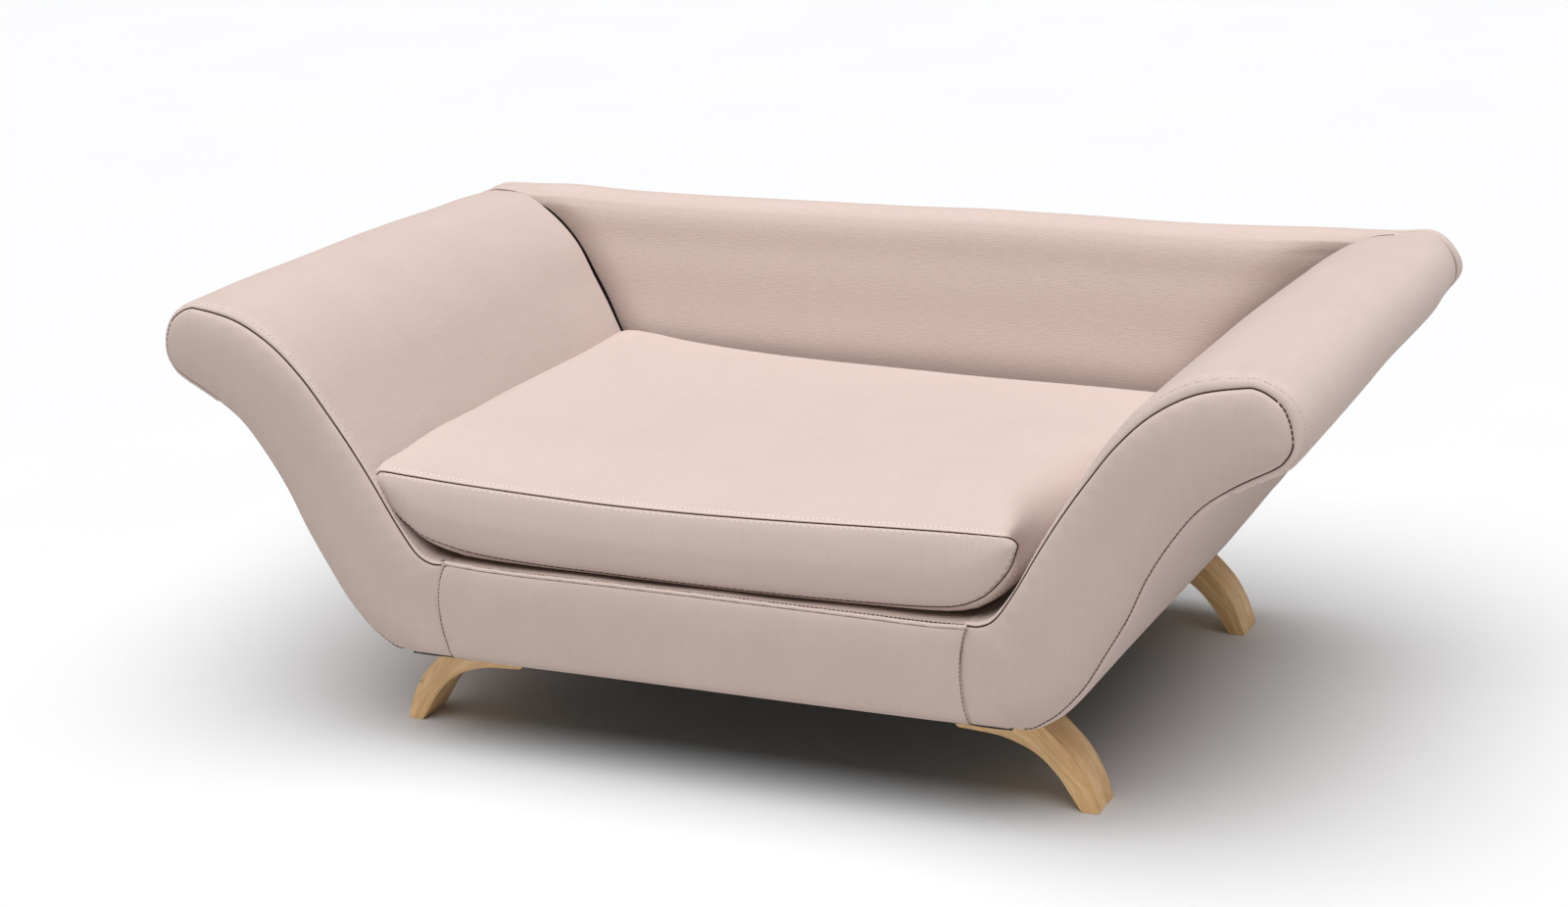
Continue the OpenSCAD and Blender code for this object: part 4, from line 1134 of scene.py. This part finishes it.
wfm = tw[:, None] * w_top[None, :] + (1 - tw[:, None]) * w_side[None, :]
wmb = sst(-90, 165, cyv)[None, :, None]
body = f_pts[:, None, :] * (1 - wfm[..., None]) + wfm[..., None] * (m_pts[:, None, :] * (1 - wmb) + b_pts[:, None, :] * wmb)
er = CY1 - cyv
wr_ = (1 - roll(er, 14))[None, :, None]
body = body * (1 - wr_) + s_pts[:, None, :] * wr_
body[..., 1] = np.maximum(body[..., 1], 175.35)
sleeve = np.stack([body[..., 0], np.broadcast_to(cyv, body.shape[:2]), body[..., 1]], -1)

# caps: front and rear panels share the sleeve's end loops
fv, ft, fd = plane_mesh(f_pts, 5.0, rings=(1.4, 3, 5, 8, 12, 17))
rv, rt, rd = plane_mesh(s_pts, 5.0, rings=(1.4, 3, 5, 8, 12))


def match(loop3, v2, d):
    """Index of the loop vertex for each edge vertex of a cap."""
    idx = {}
    for i in np.where(d < 1e-4)[0]:
        k = int(np.argmin(((loop3 - v2[i]) ** 2).sum(1)))
        idx[i] = k
    return idx


fidx, ridx = match(f_pts, fv, fd), match(s_pts, rv, rd)
nsl = sleeve.shape[0] * sleeve.shape[1]
nvv = sleeve.shape[1]
verts = [sleeve.reshape(-1, 3)]
faces, kinds = [], []
for i in range(ncu):
    k = (i + 1) % ncu
    for j in range(nvv - 1):
        faces.append((i * nvv + j, k * nvv + j, k * nvv + j + 1, i * nvv + j + 1))
        kinds.append(0)


def add_cap(v2, tris, idx, jcol, y, kind):
    base = sum(len(v) for v in verts)
    new = {}
    rows = []
    for i in range(len(v2)):
        if i in idx:
            new[i] = idx[i] * nvv + jcol
        else:
            new[i] = base + len(rows)
            rows.append((v2[i][0], y, v2[i][1]))
    verts.append(np.array(rows))
    for t_ in tris:
        faces.append(tuple(new[i] for i in t_))
        kinds.append(kind)
    return {v: i for i, v in new.items()}, [new[i] for i in range(len(v2))]


_, fmap = add_cap(fv, ft, fidx, 0, CY0, 1)
_, rmap = add_cap(rv, rt, ridx, nvv - 1, CY1, 2)
V = np.concatenate(verts)
fmap, rmap = np.array(fmap), np.array(rmap)


def relax_bounds(pts):
    pts[:, 2] = np.maximum(pts[:, 2], 175.35)
    return pts


start = V.copy()
sim = None
# pressure simulation of the sewn cover, pinned along its two seams and where it rests on the deck
me = bpy.data.meshes.new("cushion_sim")
q = start.copy()
q[fmap, 1] -= 2.0 * roll(fd, 40)
me.from_pydata((q * MM).tolist(), [], faces)
me.update()
bm = bmesh.new()
bm.from_mesh(me)
bmesh.ops.recalc_face_normals(bm, faces=bm.faces)
bmesh.ops.triangulate(bm, faces=[f for f in bm.faces if len(f.verts) > 3])
bm.to_mesh(me)
bm.free()
so = link(bpy.data.objects.new("cushion_sim", me))
vg = so.vertex_groups.new(name="pin")
for j in (0, nvv - 1):
    vg.add([i * nvv + j for i in range(ncu)], 1.0, "REPLACE")
vg.add([int(i) for i in np.where(q[:, 2] < 176.5)[0]], 0.9, "REPLACE")
mod = so.modifiers.new("Cloth", "CLOTH")
cs = mod.settings
cs.quality = 5
cs.mass = 0.3
cs.tension_stiffness = cs.compression_stiffness = 22
cs.shear_stiffness = 10
cs.bending_stiffness = 1.2
cs.use_pressure = True
cs.uniform_pressure_force = 3.0
cs.vertex_group_mass = "pin"
cs.effector_weights.gravity = 0.0
mod.collision_settings.use_collision = False
mod.collision_settings.use_self_collision = False
scn = bpy.context.scene
scn.frame_start, scn.frame_end = 1, 20
mod.point_cache.frame_start, mod.point_cache.frame_end = 1, 20
for fr_ in range(1, 21):
    scn.frame_set(fr_)
dg = bpy.context.evaluated_depsgraph_get()
ev = so.evaluated_get(dg)
co = np.zeros(len(ev.data.vertices) * 3, np.float32)
ev.data.vertices.foreach_get("co", co)
sim = co.reshape(-1, 3) / MM - q
scn.frame_set(1)
bpy.data.objects.remove(so)
bpy.data.meshes.remove(me)

if sim is not None and np.isfinite(sim).all() and len(sim) == len(V):
    mag = np.maximum(np.linalg.norm(sim, axis=1), 1e-9)
    cap = 11.0
    sim = sim * (cap * np.tanh(mag / cap) / mag)[:, None]
    w = np.zeros(len(V))
    w[:nsl] = (roll(e, 60) * roll(er, 45))[None, :].repeat(ncu, 0).ravel()
    gain = np.full(len(V), 0.5)
    V[:nsl] += sim[:nsl] * (w[:nsl] * 0.45)[:, None]
    V[fmap] += sim[fmap] * (0.25 * roll(fd, 20))[:, None]
V[fmap, 1] = V[fmap, 1] - 9.0 * roll(fd, 34) * (0.8 + 0.2 * sst(0, 60, fd))
# the rear panel stays almost flat: the zip runs across it
zipd = np.maximum(np.abs(rv[:, 1] - 211.0) - 12.5, 0)
zipx = np.maximum(np.abs(rv[:, 0]) - 207.0, 0)
zz = np.hypot(zipd, zipx)
V[rmap, 1] = CY1 + 0.6 * roll(rd, 10) - 2.3 * (1 - sst(0.0, 4.5, zz))
V[rmap, 1] = np.where(rd < 1e-4, CY1, V[rmap, 1])
# details on the sleeve: seams sit low, a topstitch channel, small stretch lines
S = V[:nsl].reshape(ncu, nvv, 3)
dS = np.roll(S, -1, 0) - np.roll(S, 1, 0)
nS = np.cross(dS, np.gradient(S, axis=1))
nS /= np.maximum(np.linalg.norm(nS, axis=2), 1e-9)[..., None]
mid_c = S.mean((0, 1))
if ((S - mid_c) * nS).sum() < 0:
    nS = -nS
sa = np.linspace(0, sc[-1], ncu + 1)[:-1][:, None]
hh = -0.9 * (1 - roll(e, 2.4))[None, :] - 0.45 * gauss(e - 6.2, 1.0)[None, :] - 0.6 * (1 - roll(er, 2.4))[None, :]
hh = hh + 0.25 * np.sin(sa * 0.52 + 1.2 * np.sin(sa * 0.05)) * gauss(e - 10, 6)[None, :]
rs = gauss(ct - 21.0, 2.2)[:, None]
hh = hh + 0.28 * rs * np.sin(sa * 1.1 + 0.02 * e[None, :]) * roll(e, 30)[None, :]
hh = hh + 0.7 * np.sin(sa * 0.021 + 0.4) * np.sin(e * 0.014 + 0.9)[None, :] * roll(e, 80)[None, :] * roll(er, 60)[None, :]
S = S + nS * hh[..., None]
S[..., 2] = np.maximum(S[..., 2], 175.35)
V[:nsl] = S.reshape(-1, 3)
V = relax_bounds(V)
wv = np.zeros((len(V), 3))
eg = np.maximum(gauss(e - 1.5, 3.0), 0.6 * gauss(er - 1, 2.5))
# painted shade: darker where the right side rolls down into the crevice beside the arm
side_dk = (sst(17.0, 19.3, ct) * (1 - sst(25.0, 27.0, ct)))[:, None]
front_dk = (sst(4, 18, e) * (1 - sst(60, 215, e)))[None, :]
eg = eg - 0.8 * side_dk * front_dk
wv[:nsl] = np.stack([np.broadcast_to(cyv, (ncu, nvv)), np.broadcast_to(sa, (ncu, nvv)), np.broadcast_to(eg, (ncu, nvv))], -1).reshape(-1, 3)
for mp in (fmap, rmap):
    inner_ids = mp[mp >= nsl]
    wv[inner_ids] = np.stack([V[inner_ids, 2], V[inner_ids, 0], 0 * inner_ids], 1)
cush = mesh_object("cushion_body", V, faces, M_cush, wv, sharp=38)
piece(cush, "cushion", "cushion_fabric", "cushion_foam", "cushion_cover", "cushion_front_panel", "cushion_rear_panel")

# cushion seams
loop3 = S[:, 0, :].copy()
nl = nS[:, 1, :]
seam = loop3 + np.array([0, -0.15, 0]) - nl * 0.1
ob = tube("cushion_front_seam", seam, 0.62, M_seam, 8, True)
piece(ob, "cushion", "seam_thread")
loopr = S[:, -1, :].copy() + np.array([0, 0.1, 0])
ob = tube("cushion_rear_seam", loopr, 0.6, M_seam, 8, True)
piece(ob, "cushion", "seam_thread")
j6 = int(np.argmin(np.abs(e - 6.4)))
row = np.vstack([S[:, j6, :], S[:1, j6, :]])
rown = np.vstack([nS[:, j6, :], nS[:1, j6, :]])
for o_ in stitches("cushion_topstitch", row, rown, M_top, 4.4, 2.8, 0.45, 0.05, hole_mat=M_thread_and_hole_shade):
    piece(o_, "cushion", "seam_thread")

# folded fabric edges beside the zip, each with a row of stitches
for k_, (zc, sg) in enumerate(((223.4, 1), (198.6, -1))):
    px = np.linspace(-207, 207, 120)
    path = np.stack([px, np.full_like(px, 175.9), zc + 0.1 * np.sin(px * 0.3)], 1)
    v_, f_ = tube_mesh(path, 2.6, 10, False, (np.tile([0, 1.0, 0], (120, 1)), 0.42))
    ob = mesh_object("zip_flap_%d" % k_, v_, f_, M_cush, np.stack([v_[:, 0], v_[:, 2], 0 * v_[:, 0] + 0.4], 1), sharp=60)
    piece(ob, "cushion", "cushion_fabric")
    path2 = path + np.array([0, 1.05, 0])
    for o_ in stitches("zip_stitch_%d" % k_, path2, np.tile([0, 1.0, 0], (120, 1)), M_seam, 3.6, 2.6, 0.3, 0.1):
        piece(o_, "cushion", "seam_thread")

# zip chain: small interlocking teeth instead of a plain bar
tv, tf = [], []
base = 0
for k_ in range(int(410 / 1.45)):
    x = -204.4 + k_ * 1.45
    for sg in (-1, 1):
        xx = x + (0.725 if sg > 0 else 0)
        c0, c1 = 211 - sg * 0.9, 211 + sg * 2.9
        ring = np.array([(-0.42, 0), (-0.42, 1.5), (-0.2, 1.9), (0.2, 1.9), (0.42, 1.5), (0.42, 0)])
        za = np.array([(xx + r0, 176.1 + r1, c0) for r0, r1 in ring])
        zb_ = np.array([(xx + r0 * 0.75, 176.1 + r1 * 0.75, c1) for r0, r1 in ring])
        tv += [za, zb_]
        tf += [tuple(base + np.array([i, (i + 1) % 6, 6 + (i + 1) % 6, 6 + i])) for i in range(6)]
        tf += [tuple(base + np.arange(5, -1, -1)), tuple(base + 6 + np.arange(6))]
        base += 12
ob = mesh_object("zip_chain", np.concatenate(tv), tf, M_teeth, sharp=30)
piece(ob, "cushion", "zip_teeth", "zip_teeth")

# ------------------------------------------------------------------ seams of the arms
for side, nm in ((1, "right"), (-1, "left")):
    t = even_t(OC, 0.1, 28.4, 2.0)
    p, n = crv(OC, t), out_norm(t)
    q = p + n * (crv(SEAM_IN, t) - 0.75)[:, None]
    path = np.stack([side * q[:, 0], np.full(len(t), YF - 0.15), q[:, 1]], 1)
    # the part round the lower tip is pulled tight: separate stitches show there
    tight = (t > 12.6) & (t < 15.6) if side > 0 else (t > 13.2) & (t < 15.0)
    a = path[t <= (12.6 if side > 0 else 13.2)]
    m = (t >= (15.6 if side > 0 else 15.0)) & (t <= 20.2)
    b = path[m]
    parts = [tube_mesh(a, 0.62, 8), tube_mesh(b, np.interp(t[m], [15, 19.0, 20.2], [0.60, 0.55, 0.35]), 8)]
    ob = join_parts(nm + "_arm_seam", parts, M_seam)
    piece(ob, "sofa", "seam_thread")
    ob = tube(nm + "_arm_seam_low", path[t >= 20.0] + np.array([0, 0.3, 0]), 0.28, M_thread_and_hole_shade, 6)
    piece(ob, "sofa", "seam_thread")
    lp = path[t >= 20.0]
    for o_ in stitches(nm + "_arm_seam_low_stitches", lp + np.array([0, -0.25, 0]), np.tile([0, -1.0, 0], (len(lp), 1)), M_seam, 4.2, 2.9, 0.40, 0.0):
        piece(o_, "sofa", "seam_thread")
    tp = path[tight]
    for o_ in stitches(nm + "_arm_seam_tip", tp + np.array([0, -0.35, 0]), np.tile([0, -1.0, 0], (len(tp), 1)), M_seam, 4.4, 3.3, 0.55, 0.0):
        piece(o_, "sofa", "seam_thread")
    # topstitching on the wrap, close behind the seam
    t = even_t(OC, 0.4, T_SIDE - 0.3, 2.0)
    sk, nr = arm_skin(side, t, np.full((len(t), 1), YF + 3.4))
    for o_ in stitches(nm + "_arm_topstitch", sk[:, 0, :], nr, M_top2, 4.4, 2.9, 0.36, 0.0, hole_mat=M_thread_and_hole_shade):
        piece(o_, "sofa", "seam_thread")
    # vertical seam between arm front and rail front
    vs = crv(SEAM_R if side > 0 else SEAM_L, np.linspace(0.05, 5.9, 50))
    pv = np.stack([vs[:, 0], np.full(50, YF - 2.6), vs[:, 1]], 1)
    # depth follows the crown at the seam
    d_out = np.minimum(vs[:, 1] - 91, 40)
    topz = lip_z(vs[:, 0])
    hv = 4.6 * roll(topz - vs[:, 1], 34) * (0.5 + 0.5 * roll(d_out, 30)) * 0.72
    pv[:, 1] = YF - 2.0 - hv - 0.2 + 1.05 + 3.2 * (1 - roll(vs[:, 1] - 91.3, 5.0))
    for o_ in stitches(nm + "_rail_seam_stitches", pv + np.array([0, -0.2, 0]), np.tile([0, -1.0, 0], (50, 1)), M_thread_and_hole_shade, 3.6, 2.5, 0.40, 0.05):
        piece(o_, "sofa", "seam_thread")
    # short seam between deck and wrap
    sy = np.linspace(YF + 0.5, 184, 220)
    sxv = np.full(220, 238.8 * side)
    lz = lip_z(sxv)
    szz = lz + 1.4 + (175.0 - lz - 1.4) * sst(0, 12, sy - YF) - 0.35
    ob = tube(nm + "_deck_seam", np.stack([sxv, sy, szz], 1), 0.55, M_seam, 6)
    piece(ob, "sofa", "seam_thread")
    # seam between side panel and rear panel, and under the tip
    t = even_t(OC, 19.5, 28.2, 3.0)
    p, n = crv(OC, t), out_norm(t)
    ob = tube(nm + "_rear_seam", np.stack([side * (p[:, 0] - n[:, 0] * 1.5), np.full(len(t), 281.4), p[:, 1] - n[:, 1] * 1.5], 1), 0.6, M_seam, 8)
    piece(ob, "sofa", "seam_thread")

# deep joint between each arm's end and the back, with a near-black tube laid in it as painted shadow for the deep shade
# in the crevice
for side, nm, rmax in ((1, "right", 1.0), (-1, "left", 2.2)):
    t = even_t(OC, 2.4, 9.6, 2.5)
    ye = arm_end(side, t)
    sk, nr = arm_skin(side, t, ye[:, None])
    u = np.linspace(0, 1, len(t))
    rad = rmax * (0.45 + 0.55 * sst(0, 0.18, u) * sst(1.0, 0.72, u))
    path = sk[:, 0, :] - nr * (1.0 + rad)[:, None]
    path[:, 1] = ye + 0.5 * GAP + 0.2
    v_, f_ = tube_mesh(path, rad, 10)
    ob = mesh_object(nm + "_back_joint_shadow", v_, f_, M_joint_shadow, sharp=60)
    piece(ob, "sofa", "seam_thread")

# dark stitched line on the deck, just behind the welt
sx = np.linspace(-232, 236, 200)
sy = np.full_like(sx, YF + 4.6)
lz = lip_z(sx)
szz = lz + 1.4 + (175.0 - lz - 1.4) * sst(0, 12, sy - YF) - 1.0 - 0.1
for o_ in stitches("deck_front_stitches", np.stack([sx, sy, szz], 1), np.tile([0, -0.3, 0.95], (200, 1)), M_seam, 3.8, 3.0, 0.5, 0.15):
    piece(o_, "sofa", "seam_thread")
ob = tube("rail_top_seam", np.stack([sx, np.full_like(sx, YF - 2.1), lip_z(sx) - 0.25], 1), 0.5, M_seam, 8)
piece(ob, "sofa", "seam_thread")

# topstitching round the rear panel's top edge
rp = BACK_RING_IN.copy()
keep = (np.abs(rp[:, 0]) < 440)
rp = rp[keep]
for o_ in stitches("back_rear_topstitch", rp + np.array([0, 0.1, 0]), np.tile([0, 1.0, 0], (len(rp), 1)), M_top, 4.4, 3.0, 0.42, 0.05, hole_mat=M_thread_and_hole_shade):
    piece(o_, "sofa", "seam_thread")

# ------------------------------------------------------------------ legs
LEG = np.array([(311, 0), (325, 0), (322, 10), (318, 22), (312, 34), (305, 45), (297, 54), (289, 62), (280, 70), (268, 80), (252, 91),
                (203, 91), (203, 64), (206, 61), (221, 60), (239, 58.5), (250, 56), (264, 51), (276, 44), (286, 35), (295, 24), (302, 13), (307, 5)], float)
outc = crv(LEG[1:11], np.linspace(0, 9, 46))
inc = crv(np.vstack([LEG[14:23], LEG[0]]), np.linspace(0, 9, 46))
outline = np.vstack([outc, [(203.6, 91)], [(203, 90.4)], [(203, 64)], [(204, 61.8)], [(206.5, 60.7)], inc])
cl_o = crv(LEG[1:11], np.linspace(0, 9, 60))
cl_i = crv(np.vstack([LEG[14:23], LEG[0]])[::-1], np.linspace(0, 9, 60))
centre = (cl_o + cl_i) / 2
centre = np.vstack([centre, [(203, 76)]])
csl = arc_len(centre)
for nm, side, ly in (("front_left_leg", -1, -200.5), ("front_right_leg", 1, -200.5), ("rear_left_leg", -1, 218.5), ("rear_right_leg", 1, 218.5)):
    k = len(outline)
    a = np.column_stack([side * outline[:, 0], np.full(k, ly - 19.5), outline[:, 1]])
    b = np.column_stack([side * outline[:, 0], np.full(k, ly + 19.5), outline[:, 1]])
    f = [tuple(range(k)), tuple(range(2 * k - 1, k - 1, -1))] + [(i, (i + 1) % k, k + (i + 1) % k, k + i) for i in range(k)]
    ob = mesh_object(nm + "_wood", np.vstack([a, b]), f, M_leg, sharp=35)
    cutters = []
    for bx in (215, 240):
        for rad, z0, z1 in ((7.5, 40, 70), (3.2, 60, 95)):
            bpy.ops.mesh.primitive_cylinder_add(vertices=32, radius=rad * MM, depth=(z1 - z0) * MM, location=(side * bx * MM, ly * MM, (z0 + z1) / 2 * MM))
            cutters.append(bpy.context.active_object)
    bv = ob.modifiers.new("round", "BEVEL")
    bv.width, bv.segments, bv.limit_method, bv.angle_limit = 1.7 * MM, 3, "ANGLE", math.radians(40)
    for c in cutters:
        bo = ob.modifiers.new("bore", "BOOLEAN")
        bo.operation, bo.object, bo.solver = "DIFFERENCE", c, "EXACT"
    dg = bpy.context.evaluated_depsgraph_get()
    me = bpy.data.meshes.new_from_object(ob.evaluated_get(dg))
    ob.modifiers.clear()
    ob.data = me
    for c in cutters:
        cm_ = c.data
        bpy.data.objects.remove(c)
        bpy.data.meshes.remove(cm_)
    co = np.array([v.co for v in me.vertices]) / MM
    p2 = np.stack([np.abs(co[:, 0]), co[:, 2]], 1)
    dd = ((p2[:, None, :] - centre[None]) ** 2).sum(2)
    ki = dd.argmin(1)
    off = np.linalg.norm(p2 - centre[ki], axis=1) * np.sign(p2[:, 1] - centre[ki][:, 1] + 0.5 * (p2[:, 0] - centre[ki][:, 0]) + 1e-6)
    wv = np.stack([csl[ki] + 137.0 * (side + 2) + ly, off + 3 * side, co[:, 1] + 0.0], 1)
    if "wv" in me.attributes:
        me.attributes.remove(me.attributes["wv"])
    at = me.attributes.new("wv", "FLOAT_VECTOR", "POINT")
    at.data.foreach_set("vector", wv.astype(np.float32).ravel())
    me.polygons.foreach_set("use_smooth", [True] * len(me.polygons))
    me.set_sharp_from_angle(angle=math.radians(28))
    piece(ob, "sofa", "leg_wood", nm)

# ------------------------------------------------------------------ CAD nodes that stay: finish
FIN = {"plywood": M_ply, "frame_wood": M_fwood, "hardboard": M_board, "foam": M_foam, "steel": M_steel, "zip_tape": M_tape,
       "zip_teeth": M_teeth, "zip_metal": M_zmetal, "leg_wood": M_leg, "cover_fabric": M_wrap, "cushion_fabric": M_cush,
       "dust_cloth": M_dust, "seam_thread": M_seam}
for sp in frame["record"]["subparts"]:
    o = NODE[sp["node"]]
    m = FIN[sp["material_slot"]]
    if len(o.material_slots) == 0:
        o.data.materials.append(m)
    for s_ in o.material_slots:
        s_.material = m
for nm in ("zip_slider", "zip_pull_tab"):
    b = NODE[nm].modifiers.new("edge", "BEVEL")
    b.width, b.segments, b.limit_method, b.angle_limit = 0.25 * MM, 2, "ANGLE", math.radians(35)

# ------------------------------------------------------------------ floor and light
me = bpy.data.meshes.new("floor")
me.from_pydata([(-40, -40, 0), (40, -40, 0), (40, 40, 0), (-40, 40, 0)], [], [(0, 1, 2, 3)])
floor = link(bpy.data.objects.new("floor", me))
fn = Nodes("floor_pale")
fco = fn.add("ShaderNodeTexCoord").outputs["Object"]
fno = fn.noise(fn.scaled(fco, (3, 3, 3)), 1.0, 3.0, 0.5)
me.materials.append(fn.out(Base_Color=fn.mix(fn.remap(fno, 0.3, 0.7, 0, 1), (0.64, 0.637, 0.63), (0.65, 0.647, 0.64)), Roughness=0.9))


def sun(name, from_dir, level, angle, col=(1, 1, 1)):
    li = bpy.data.lights.new(name, "SUN")
    li.energy = level * math.pi
    li.angle = math.radians(angle)
    li.color = col
    ob = link(bpy.data.objects.new(name, li))
    ob.rotation_mode = "QUATERNION"
    ob.rotation_quaternion = (-Vector(from_dir)).to_track_quat("-Z", "Y")
    return ob


sun("key_overhead_softbox", (0.05, -0.19, 0.98), 1.43, 70, (0.985, 1.0, 1.035))
world = bpy.data.worlds.new("studio")
bpy.context.scene.world = world
world.use_nodes = True
wt_ = world.node_tree
tc_ = wt_.nodes.new("ShaderNodeTexCoord")
sx_ = wt_.nodes.new("ShaderNodeSeparateXYZ")
wt_.links.new(tc_.outputs["Generated"], sx_.inputs[0])
rp_ = wt_.nodes.new("ShaderNodeValToRGB")
wt_.links.new(sx_.outputs[2], rp_.inputs[0])
rp_.color_ramp.elements[0].position, rp_.color_ramp.elements[0].color = 0.05, (0.44, 0.41, 0.38, 1)
rp_.color_ramp.elements[1].position, rp_.color_ramp.elements[1].color = 0.30, (0.15, 0.145, 0.14, 1)
bg = wt_.nodes["Background"]
wt_.links.new(rp_.outputs[0], bg.inputs[0])
bg.inputs[1].default_value = 1.0
bpy.context.scene.view_settings.view_transform = "Standard"
